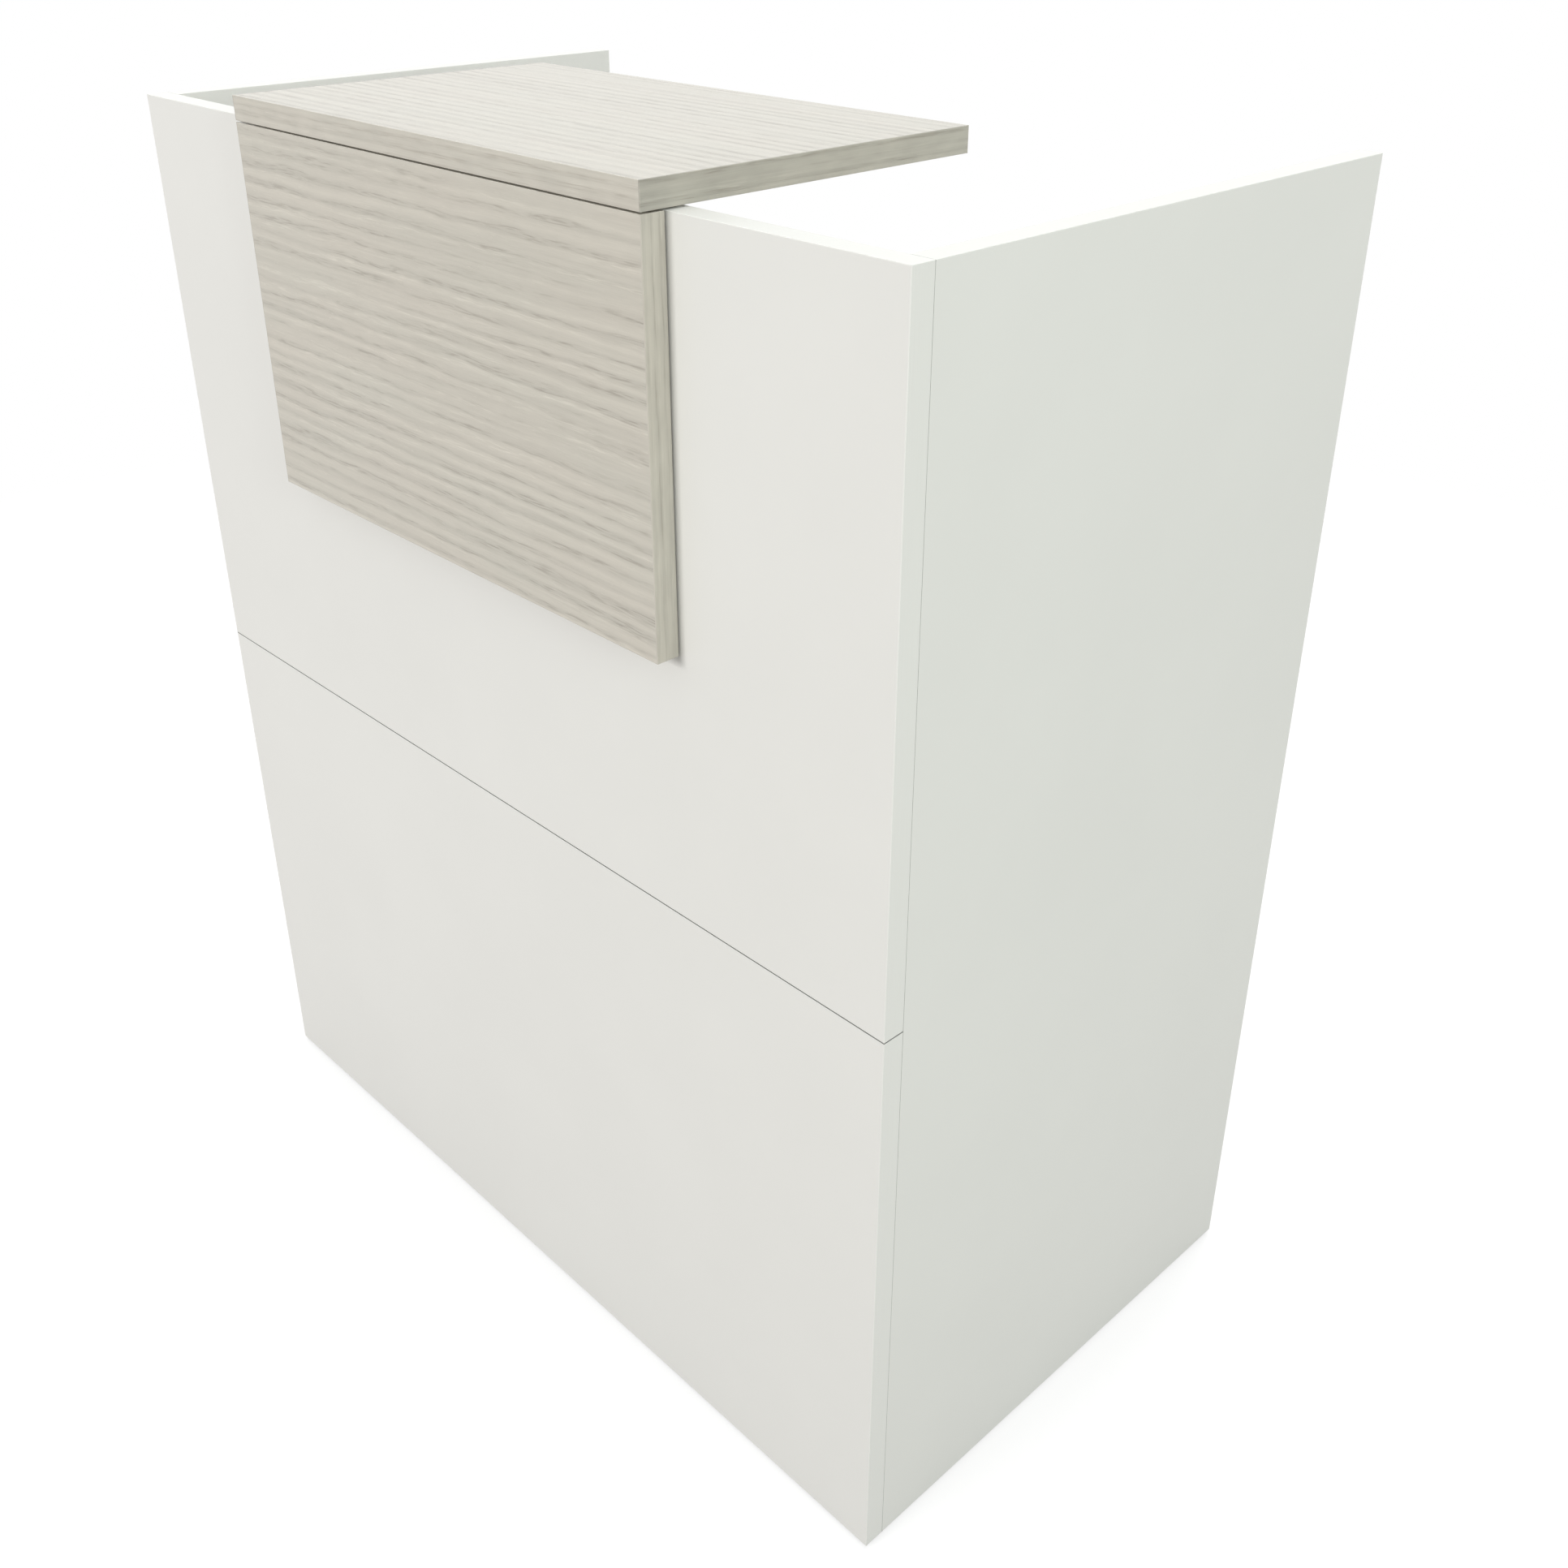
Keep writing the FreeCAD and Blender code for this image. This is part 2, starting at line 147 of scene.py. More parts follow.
class NodeSheet:
    """A node tree being drawn up, with short calls for its nodes and links."""

    def __init__(self, tree: bpy.types.NodeTree) -> None:
        """Start on a tree, emptied of its nodes."""
        self.tree = tree
        self.tree.nodes.clear()

    def add(self, kind: str, feeds: dict[str | int, Feed] | None = None,
            **settings: object) -> bpy.types.Node:
        """Add a node.

        Args:
            kind: the node's type.
            feeds: what goes into its sockets, by name or number.
            settings: its properties.

        Returns:
            The node.
        """
        node = self.tree.nodes.new(kind)
        for name, value in settings.items():
            setattr(node, name, value)
        for key, value in (feeds or {}).items():
            self.feed(node.inputs[key], value)
        return node

    def made(self, kind: str, feeds: dict[str | int, Feed] | None = None, **settings: object) -> NodeSocket:
        """The first output of a new node."""
        return self.add(kind, feeds, **settings).outputs[0]

    def feed(self, socket: NodeSocket, value: Feed) -> None:
        """Link another node's output to a socket, or set its value.

        Args:
            socket: the socket that is fed.
            value: an output, or a plain value.
        """
        if isinstance(value, NodeSocket):
            self.tree.links.new(value, socket)
        else:
            socket.default_value = value

    def math(self, operation: str, first: Feed, second: Feed = 0.0) -> NodeSocket:
        """The result of a Math node's operation on one or two values."""
        return self.made("ShaderNodeMath", {0: first, 1: second}, operation=operation)

    def span(self, value: Feed, source: Range, target: Range = WHOLE) -> NodeSocket:
        """Map a range of a value to another, held at its ends."""
        return self.made("ShaderNodeMapRange", {"Value": value, "From Min": source[0], "From Max": source[1],
                                                "To Min": target[0], "To Max": target[1]})


class FinishSheet(NodeSheet):
    """The node tree of a finish, which ends in one Principled shader. Lengths are in millimetres."""

    def __init__(self, name: str) -> None:
        """Start a material.

        Args:
            name: the material's name.
        """
        self.material = bpy.data.materials.new(name)
        self.material.use_nodes = True
        super().__init__(self.material.node_tree)
        self.shader = self.add("ShaderNodeBsdfPrincipled")
        self.add("ShaderNodeOutputMaterial", {"Surface": self.shader.outputs["BSDF"]})

    def surface(self, feeds: dict[str, Feed]) -> Material:
        """Set the shader's sockets.

        Args:
            feeds: what goes into them, by name.

        Returns:
            The finished material.
        """
        for name, value in feeds.items():
            self.feed(self.shader.inputs[name], value)
        return self.material

    def place(self) -> NodeSocket:
        """The surface point in the counter's frame, in millimetres."""
        point = self.add("ShaderNodeTexCoord").outputs["Object"]
        return self.made("ShaderNodeVectorMath", {0: point, "Scale": 1 / MM}, operation="SCALE")

    def parts(self, point: Feed) -> bpy.types.NodeOutputs:
        """The three coordinates of a point, by name."""
        return self.add("ShaderNodeSeparateXYZ", {0: point}).outputs

    def laid(self, lay: Lay) -> NodeSocket:
        """The surface point with its X along the grain.

        Args:
            lay: how the grain lies.

        Returns:
            The turned point.
        """
        parts = self.parts(self.shifted(self.place(), lay.shift))
        main = self.turned(parts, lay.main)
        if lay.ends is None:
            return main
        feeds = {0: self.beyond(lay), 4: main, 5: self.turned(parts, lay.ends)}
        return self.add("ShaderNodeMix", feeds, data_type="VECTOR").outputs[1]

    def beyond(self, lay: Lay) -> NodeSocket:
        """1 where the surface point lies beyond the ends of its board, and else 0."""
        return self.math("GREATER_THAN", self.off_plane(lay.end_axis, lay.end_middle), lay.end_reach)

    def off_plane(self, axis: str, plane: float) -> NodeSocket:
        """How far the surface point lies from a plane across an axis."""
        along = self.parts(self.place())[axis]
        return self.math("ABSOLUTE", self.math("SUBTRACT", along, plane))

    def turned(self, parts: bpy.types.NodeOutputs, run: Run) -> NodeSocket:
        """A point whose coordinates follow a run."""
        return self.made("ShaderNodeCombineXYZ", {k: parts[name] for k, name in enumerate(run.value)})

    def shifted(self, point: Feed, offset: Feed) -> NodeSocket:
        """A point moved by an offset."""
        return self.made("ShaderNodeVectorMath", {0: point, 1: offset}, operation="ADD")

    def noise(self, point: Feed, along: float, across: float | None = None, detail: float = 2.0,
              sharpness: float = 0.5) -> NodeSocket:
        """Soft random patches.

        Args:
            point: where they are read.
            along: their size along X.
            across: their size across it, or the same.
            detail: how many finer layers they have.
            sharpness: how strong the finer layers are.

        Returns:
            A value about 0.5.
        """
        width = along if across is None else across
        shares = (1 / along, 1 / width, 1 / width)
        scaled = self.made("ShaderNodeVectorMath", {0: point, 1: shares}, operation="MULTIPLY")
        return self.made("ShaderNodeTexNoise", {"Vector": scaled, "Scale": 1.0, "Detail": detail,
                                                "Roughness": sharpness})

    def blend(self, share: Feed, first: Feed, second: Feed) -> NodeSocket:
        """Two colours blended, with a share of the second from 0 to 1."""
        return self.add("ShaderNodeMix", {0: share, 6: first, 7: second}, data_type="RGBA").outputs[2]

    def relief(self, height: Feed, depth: float) -> NodeSocket:
        """The normal bent by a relief of a height from about 0 to 1, and of a depth."""
        return self.made("ShaderNodeBump", {"Height": height, "Distance": depth * MM, "Strength": 1.0})


@dataclass(frozen=True)
class GrainedFinish:
    """A nearly even surface: faint patches of colour, and a fine grain in gloss and relief. Millimetres."""

    name: str
    light: Colour
    shade: Colour
    patch: float
    grain: float
    grain_depth: float
    roughness: float
    gloss_spread: float
    patch_detail: float = 3.0
    grain_detail: float = 2.0
    grain_range: Range = NOISE_MIDDLE
    metallic: float = 0.0

    def material(self) -> Material:
        """Draw up the finish.

        Returns:
            The material.
        """
        sheet = FinishSheet(self.name)
        point = sheet.place()
        patches = sheet.span(sheet.noise(point, self.patch, detail=self.patch_detail), NOISE_CORE)
        grain = sheet.noise(point, self.grain, detail=self.grain_detail)
        gloss = sheet.span(grain, self.grain_range, around(self.roughness, self.gloss_spread))
        return sheet.surface({"Base Color": sheet.blend(patches, self.shade, self.light), "Roughness": gloss,
                              "Metallic": self.metallic, "Normal": sheet.relief(grain, self.grain_depth)})


@dataclass(frozen=True)
class MelamineFinish(GrainedFinish):
    """Satin white facing: a faint cloudiness and a fine pearl texture."""

    patch: float = 130.0
    grain: float = 0.9
    grain_depth: float = 0.012
    roughness: float = 0.42
    gloss_spread: float = 0.04
    grain_detail: float = 1.0
    grain_range: Range = WHOLE


@dataclass(frozen=True)
class MetalFinish(GrainedFinish):
    """Plated or cast metal: fine mottling in its colour and gloss."""

    patch: float = 2.5
    grain: float = 0.35
    grain_depth: float = 0.010
    roughness: float = 0.36
    gloss_spread: float = 0.09
    metallic: float = 1.0


@dataclass(frozen=True)
class CoatFinish(GrainedFinish):
    """Powder coat or moulded plastic: an even colour with a fine grain."""

    patch: float = 8.4
    grain: float = 0.7
    grain_depth: float = 0.02
    roughness: float = 0.48
    gloss_spread: float = 0.07
    patch_detail: float = 2.0


@dataclass(frozen=True)
class Joint:
    """A joint between boards whose gap gets painted shade, in millimetres: its plane, its reach, and how
    dark the painted shade is.
    """

    axis: str
    plane: float
    reach: float
    dark: float
    full_share: float = 0.8


@dataclass(frozen=True)
class EdgingFinish:
    """White edging: drawn lines along the strip, a little lighter than the boards, with painted shade at its
    joints. Millimetres.
    """

    name: str
    light: Colour
    shade: Colour
    line_length: float = 60.0
    line_width: float = 0.5
    line_depth: float = 0.006
    roughness: float = 0.36
    gloss_spread: float = 0.05

    def material(self, lay: Lay, joints: Sequence[Joint] = ()) -> Material:
        """Draw up the finish.

        Args:
            lay: how the strips run.
            joints: the joints whose gaps it darkens with painted shade.

        Returns:
            The material.
        """
        sheet = FinishSheet(self.name)
        lines = sheet.noise(sheet.laid(lay), self.line_length, self.line_width)
        gloss = sheet.span(lines, NOISE_MIDDLE, around(self.roughness, self.gloss_spread))
        colour = sheet.blend(sheet.span(lines, NOISE_MIDDLE), self.shade, self.light)
        # Painted shade: the colour darkens towards each joint's plane, standing in for the shadow in the gap
        # between the boards.
        for joint in joints:
            off = sheet.off_plane(joint.axis, joint.plane)
            painted_shade = sheet.span(off, (joint.reach * joint.full_share, joint.reach), (joint.dark, 0.0))
            colour = sheet.blend(painted_shade, colour, PAINTED_GAP_SHADE)
        return sheet.surface({"Base Color": colour, "Roughness": gloss,
                              "Normal": sheet.relief(lines, self.line_depth)})


@dataclass(frozen=True)
class OakFinish:
    """Oak-effect laminate: soft bands, pores in the dark ones, a light ridge under each. Millimetres."""

    name: str
    base: Colour
    band_pitch: float = 12.6
    band_length: float = 500.0
    band_depth: float = 0.094
    even_share: float = 0.46
    loose_share: float = 0.42
    loose_range: Range = (0.32, 0.68)
    sway_length: float = 58.0
    sway_width: float = 12.0
    sway_reach: float = 3.8
    fibre_length: float = 22.0
    fibre_width: float = 0.8
    fibre_depth: float = 0.044
    fibre_range: Range = (0.25, 0.75)
    pore_length: float = 19.0
    pore_width: float = 1.15
    pore_depth: float = 0.215
    pore_range: Range = (0.46, 0.66)
    pores_in_group: float = 4.0
    group_range: Range = (0.30, 0.54)
    dark_range: Range = (0.22, 0.46)
    ridge_lag: float = 2.0
    ridge_drop: float = 2.3
    ridge_depth: float = 0.115
    end_depth: float = 0.0
    cloud_length: float = 30.0
    cloud_aspect: float = 3.0
    cloud_depth: float = 0.012
    sways_in_tint: float = 3.0
    pore_tint: Triple = (1.012, 0.992, 0.972)
    warm_tint: Triple = (1.004, 0.997, 0.994)
    cool_tint: Triple = (0.996, 1.003, 1.0)
    relief_depth: float = 0.06
    roughness: float = 0.23
    gloss_spread: float = 0.05

    def material(self, lay: Lay) -> Material:
        """Draw up the finish.

        Args:
            lay: how the grain lies.

        Returns:
            The material.
        """
        sheet = FinishSheet(self.name)
        grain = self.swayed(sheet, sheet.laid(lay))
        fibres = sheet.noise(grain, self.fibre_length, self.fibre_width, detail=3.0, sharpness=0.6)
        clouds = sheet.noise(grain, self.cloud_length, self.cloud_length / self.cloud_aspect)
        pores = self.dashes(sheet, grain)
        ridges = self.dashes(sheet, sheet.shifted(grain, (self.ridge_lag, self.ridge_drop, self.ridge_drop)))
        tone = sheet.span(self.bands(sheet, grain), WHOLE, around(1.0, self.band_depth))
        tone = sheet.math("ADD", tone, sheet.span(fibres, self.fibre_range, around(0.0, self.fibre_depth)))
        tone = sheet.math("ADD", tone, sheet.span(clouds, NOISE_MIDDLE, around(0.0, self.cloud_depth)))
        tone = sheet.math("ADD", tone, sheet.math("MULTIPLY", ridges, self.ridge_depth))
        tone = sheet.math("SUBTRACT", tone, sheet.math("MULTIPLY", pores, self.pore_depth))
        if lay.ends is not None:
            tone = sheet.math("SUBTRACT", tone, sheet.math("MULTIPLY", sheet.beyond(lay), self.end_depth))
        colour = sheet.blend(pores, self.wandering(sheet, grain), self.tinted(self.pore_tint))
        colour = sheet.made("ShaderNodeVectorMath", {0: colour, "Scale": tone}, operation="SCALE")
        height = sheet.math("SUBTRACT", sheet.math("ADD", fibres, ridges), pores)
        gloss = sheet.span(fibres, NOISE_MIDDLE, around(self.roughness, -self.gloss_spread))
        return sheet.surface({"Base Color": colour, "Roughness": gloss,
                              "Normal": sheet.relief(height, self.relief_depth)})

    def swayed(self, sheet: FinishSheet, grain: NodeSocket) -> NodeSocket:
        """Let the grain sway a little from side to side.

        Args:
            sheet: the material's sheet.
            grain: the point with its X along the grain.

        Returns:
            The swayed point.
        """
        broad = sheet.noise(grain, self.sway_length, self.sway_width)
        sway = sheet.math("MULTIPLY", sheet.math("SUBTRACT", broad, 0.5), self.sway_reach)
        return sheet.shifted(grain, sheet.made("ShaderNodeCombineXYZ", {1: sway, 2: sway}))

    def bands(self, sheet: FinishSheet, point: NodeSocket) -> NodeSocket:
        """Soft bands along the grain, partly even and partly random.

        Args:
            sheet: the material's sheet.
            point: the swayed point.

        Returns:
            A value from 0, dark, to 1, pale.
        """
        loose = sheet.noise(point, self.band_length, self.band_pitch * self.loose_share, detail=1.0)
        loose = sheet.math("MULTIPLY", sheet.span(loose, self.loose_range), 1.0 - self.even_share)
        parts = sheet.parts(point)
        across = sheet.math("ADD", parts["Y"], parts["Z"])
        wave = sheet.math("SINE", sheet.math("MULTIPLY", across, 2 * math.pi / self.band_pitch))
        even = sheet.math("MULTIPLY", sheet.span(wave, around(0.0, 1.0)), self.even_share)
        return sheet.math("ADD", loose, even)

    def dashes(self, sheet: FinishSheet, point: NodeSocket) -> NodeSocket:
        """Short thin dashes along the grain, in loose groups in the dark bands.

        Args:
            sheet: the material's sheet.
            point: the swayed point.

        Returns:
            A value from 0, none, to 1, dash.
        """
        short = sheet.noise(point, self.pore_length, self.pore_width, detail=1.0)
        groups = sheet.noise(point, self.pore_length * self.pores_in_group, self.band_pitch / 2, detail=1.0)
        dark = sheet.span(self.bands(sheet, point), self.dark_range, (1.0, 0.0))
        grouped = sheet.math("MULTIPLY", sheet.span(groups, self.group_range), dark)
        return sheet.math("MULTIPLY", sheet.span(short, self.pore_range), grouped)

    def tinted(self, tint: Triple) -> Colour:
        """The base colour with each of its parts multiplied by a tint's."""
        return evened(*(part * share for part, share in zip(self.base, tint)))

    def wandering(self, sheet: FinishSheet, grain: NodeSocket) -> NodeSocket:
        """The base colour, wandering between a greener and a warmer shade.

        Args:
            sheet: the material's sheet.
            grain: the swayed point.

        Returns:
            The colour.
        """
        length, width = (size * self.sways_in_tint for size in (self.sway_length, self.sway_width))
        share = sheet.span(sheet.noise(grain, length, width), NOISE_CORE)
        return sheet.blend(share, self.tinted(self.cool_tint), self.tinted(self.warm_tint))


BOARD_WHITE = MelamineFinish("white_melamine", light=WHITE, shade=toned(WHITE, 0.985))
EDGE_WHITE = EdgingFinish("white_edging", light=toned(WHITE, 1.015), shade=toned(WHITE, 0.99))
OAK_BOARD = OakFinish("oak_laminate", OAK)
OAK_EDGE = OakFinish("oak_edging", OAK, band_pitch=6.5, band_depth=0.055, sway_reach=1.2, fibre_length=60.0,
                     pore_length=22.0, pore_depth=0.14, ridge_depth=0.08, cloud_depth=0.05)
SHELF_EDGE = replace(OAK_EDGE, name="oak_shelf_edging", end_depth=0.23)
ACCENT_EDGE = replace(OAK_EDGE, name="oak_accent_edging", end_depth=0.06)
ZINC_PLATE = MetalFinish("zinc_plate", light=ZINC, shade=toned(ZINC, 0.86))
CAST_ZINC = MetalFinish("cast_zinc", light=toned(ZINC, 0.92), shade=toned(ZINC, 0.74), patch=1.2,
                        roughness=0.46)
WHITE_COAT = CoatFinish("white_powder_coat", light=WHITE, shade=toned(WHITE, 0.97))
WHITE_CAP = CoatFinish("white_cap_plastic", light=toned(WHITE, 0.99), shade=toned(WHITE, 0.96), patch=4.8,
                       grain=0.4, grain_depth=0.008, roughness=0.40)
BLACK_NYLON = CoatFinish("black_nylon", light=toned(NYLON, 1.25), shade=NYLON, roughness=0.55)
GREY_PLASTIC = CoatFinish("grey_plastic", light=GREY, shade=toned(GREY, 0.85), roughness=0.55)
BEECH_WOOD = OakFinish("beech", BEECH, band_pitch=3.0, band_length=60.0, sway_reach=0.6, fibre_length=14.0,
                       fibre_width=0.4, pore_length=3.0, pore_width=0.3, ridge_drop=0.5, relief_depth=0.04,
                       roughness=0.5)


def dress(nodes: Sequence[str], finish: Material) -> None:
    """Give nodes of the frame a finish.

    Args:
        nodes: the nodes.
        finish: their material.
    """
    for node in nodes:
        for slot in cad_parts[node].material_slots:
            slot.material = finish
        LOG.info("%s: %s", node, finish.name)


def linked(name: str, mesh: Mesh) -> Object:
    """Put a mesh into the scene as an object at the origin.

    Args:
        name: the object's name.
        mesh: its mesh.

    Returns:
        The object.
    """
    item = bpy.data.objects.new(name, mesh)
    bpy.context.scene.collection.objects.link(item)
    return item


def stand_in(piece: Object, node: str, body: str) -> None:
    """Let a new piece stand for a node of the frame.

    Args:
        piece: the piece.
        node: the node that it replaces.
        body: the body that it rides on.
    """
    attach(piece, body)
    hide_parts(node)
    LOG.info("%s: %d faces", piece.name, len(piece.data.polygons))


@dataclass
class WhiteCarcass:
    """The white boards of the counter and their edging."""

    sides: tuple[str, ...] = ("left_side", "right_side")
    fronts: tuple[str, ...] = ("upper_front", "lower_front")
    inner: tuple[str, ...] = ("work_surface", "seam_rail")
    # How far and how dark the painted shade reaches into the edging at the seam between the front panels and
    # at the front corners, in millimetres.
    seam_reach: float = 0.60
    seam_dark: float = 0.75
    corner_reach: float = 0.28
    corner_dark: float = 0.38

    def build(self) -> None:
        """Dress the boards, then each one's edging along its strips."""
        boards = [f"{name}_panel" for name in self.sides + self.fronts] + list(self.inner)
        dress(boards, BOARD_WHITE.material())
        corner, seam = self.joints()
        for name in self.sides:
            self.dress_edging(name, Run.DEPTH, [corner])
        for name in self.fronts:
            self.dress_edging(name, Run.WIDTH, [corner, seam])
        dress([f"{name}_edging" for name in self.inner], EDGE_WHITE.material(Lay(Run.WIDTH)))

    def dress_edging(self, name: str, ends: Run, joints: Sequence[Joint]) -> None:
        """Dress the edging of an upright board, by the run of its top and bottom strips and its joints."""
        lay = Lay.round_board(f"{name}_panel", Run.HEIGHT, ends, "Z")
        dress([f"{name}_edging"], EDGE_WHITE.material(lay, joints))

    def joints(self) -> tuple[Joint, Joint]:
        """Find the joints that get painted shade as fine dark lines.

        Returns:
            The joint of the front panels with the side panels, and the one between the front panels.
        """
        side_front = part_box("left_side_edging")[0].y
        lower_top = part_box("lower_front_edging")[1].z
        upper_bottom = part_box("upper_front_edging")[0].z
        return (Joint("Y", side_front / MM, self.corner_reach, self.corner_dark),
                Joint("Z", (lower_top + upper_bottom) / 2 / MM, self.seam_reach, self.seam_dark))


@dataclass
class OakBoards:
    """The accent panel and the transaction shelf, with their edging."""

    shelf_shift: Triple = (900.0, 210.0, 0.0)

    def build(self) -> None:
        """Dress each board with its grain along the counter, and its end strips along their own length."""
        dress(["accent_panel"], OAK_BOARD.material(Lay(Run.WIDTH)))
        dress(["transaction_shelf"], OAK_BOARD.material(Lay(Run.WIDTH, shift=self.shelf_shift)))
        accent = Lay.round_board("accent_panel", Run.WIDTH, Run.HEIGHT, "X")
        shelf = Lay.round_board("transaction_shelf", Run.WIDTH, Run.DEPTH, "X")
        dress(["accent_edging"], ACCENT_EDGE.material(accent))
        dress(["transaction_shelf_edging"], SHELF_EDGE.material(shelf))


@dataclass(frozen=True)
class Seat:
    """Where a fitting stands, in metres: the far end of its head, the way out, and its whole length."""

    crown: Vector
    out: Vector
    length: float


def loose_parts(node: str) -> list[list[Vector]]:
    """The separate solids of a node.

    Args:
        node: the node.

    Returns:
        The points of each solid, in a steady order.
    """
    merge_distance = 0.001 * MM
    sort_digits = 4
    mesh = bmesh.new()
    mesh.from_mesh(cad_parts[node].data)
    bmesh.ops.remove_doubles(mesh, verts=mesh.verts, dist=merge_distance)
    unseen = set(mesh.verts)
    parts = []
    while unseen:
        waiting = [unseen.pop()]
        part = []
        while waiting:
            vertex = waiting.pop()
            part.append(vertex.co.copy())
            near = {edge.other_vert(vertex) for edge in vertex.link_edges} & unseen
            unseen -= near
            waiting.extend(near)
        parts.append(part)
    mesh.free()
    return sorted(parts, key=lambda part: [round(x, sort_digits) for x in sum(part, Vector()) / len(part)])


def seats_of(node: str, long: Long) -> list[Seat]:
    """Find how the like fittings of a node stand.

    Args:
        node: the node.
        long: which extent lies along a fitting's axis.

    Returns:
        One seat for each fitting.
    """
    end_share = 0.12
    seats = []
    for part in loose_parts(node):
        low, high = (Vector([pick(values) for values in zip(*part)]) for pick in (min, max))
        size, middle = high - low, (low + high) / 2
        axis = long.axis(size)
        across = [k for k in range(3) if k != axis]
        reach = {}
        for end in (low[axis], high[axis]):
            ring = [point - middle for point in part if abs(point[axis] - end) < end_share * size[axis]]
            reach[end] = max(Vector([arm[k] for k in across]).length for arm in ring)
        head = max(reach, key=reach.get)
        crown = middle.copy()
        crown[axis] = head
        out = Vector((0.0, 0.0, 0.0))
        out[axis] = 1.0 if head == high[axis] else -1.0
        seats.append(Seat(crown, out, size[axis]))
    return seats


def smoothed(mesh: Mesh) -> Mesh:
    """Shade a mesh smooth, apart from its sharp edges.

    Args:
        mesh: the mesh.

    Returns:
        The same mesh.
    """
    mesh.polygons.foreach_set("use_smooth", [True] * len(mesh.polygons))
    mesh.set_sharp_from_angle(angle=SHARP_EDGE)
    return mesh


def finished_mesh(name: str, work: bmesh.types.BMesh) -> Mesh:
    """Turn a working mesh into a plain one with its normals outwards.

    Args:
        name: the mesh's name.
        work: the working mesh, which is freed.

    Returns:
        The mesh.
    """
    bmesh.ops.recalc_face_normals(work, faces=work.faces)
    mesh = bpy.data.meshes.new(name)
    work.to_mesh(mesh)
    work.free()
    return smoothed(mesh)


def turned_mesh(name: str, profile: Sequence[tuple[float, float]], sides: int, closed: bool = False) -> Mesh:
    """Turn a profile about Z into a closed mesh.

    Args:
        name: the mesh's name.
        profile: radius and height of each point in millimetres, from the axis up and back to it.
        sides: how many sides it has.
        closed: whether the profile is a loop clear of the axis instead, whose last point meets its first.

    Returns:
        The mesh.
    """
    work = bmesh.new()
    rings = []
    for radius, height in profile:
        reach = radius * MM
        turns = [2 * math.pi * k / sides for k in range(sides if radius else 1)]
        rings.append([work.verts.new((reach * math.cos(turn), reach * math.sin(turn), height * MM))
                      for turn in turns])
    for below, above in zip(rings, rings[1:] + (rings[:1] if closed else [])):
        for k in range(sides):
            corners = [below[k % len(below)], below[(k + 1) % len(below)],
                       above[(k + 1) % len(above)], above[k % len(above)]]
            work.faces.new(list(dict.fromkeys(corners)))
    return finished_mesh(name, work)


def prism_into(work: bmesh.types.BMesh, first: Sequence[Triple], second: Sequence[Triple]) -> None:
    """Add a prism between two like outlines to a working mesh.

    Args:
        work: the working mesh.
        first: the corners of one end in millimetres.
        second: the corners of the other end, in the same order.
    """
    near, far = ([work.verts.new(Vector(corner) * MM) for corner in outline] for outline in (first, second))
    work.faces.new(near[::-1])
    work.faces.new(far)
    for k in range(len(near)):
        work.faces.new([near[k - 1], near[k], far[k], far[k - 1]])


def bar_into(work: bmesh.types.BMesh, half: Range, low: float, high: float, foot_share: float = 1.0) -> None:
    """Add an upright bar on the Z axis to a working mesh.

    Args:
        work: the working mesh.
        half: half its size along X and along Y, in millimetres.
        low: the height of its foot.
        high: the height of its top.
        foot_share: its foot's size as a share of its top's.
    """
    x, y = half
    top = [(-x, -y, high), (x, -y, high), (x, y, high), (-x, y, high)]
    prism_into(work, [(across * foot_share, along * foot_share, low) for across, along, _ in top], top)


def plain_mesh(item: Object, name: str) -> Mesh:
    """The mesh that an object has with its modifiers.

    Args:
        item: the object.
        name: the new mesh's name.

    Returns:
        The mesh.
    """
    bpy.context.view_layer.update()
    graph = bpy.context.evaluated_depsgraph_get()
    mesh = bpy.data.meshes.new_from_object(item.evaluated_get(graph), depsgraph=graph)
    mesh.name = name
    return mesh


def carved(mesh: Mesh, cutter: Mesh) -> Mesh:
    """Cut one mesh out of another.

    Args:
        mesh: the mesh that is cut.
        cutter: what is taken away.

    Returns:
        The cut mesh.
    """
    body, tool = linked("carving", mesh), linked("cutter", cutter)
    cut = body.modifiers.new("cut", "BOOLEAN")
    cut.operation = "DIFFERENCE"
    cut.solver = "EXACT"
    cut.use_self = True
    cut.object = tool
    result = plain_mesh(body, mesh.name)
    for item in (body, tool):
        bpy.data.objects.remove(item)
    return smoothed(result)


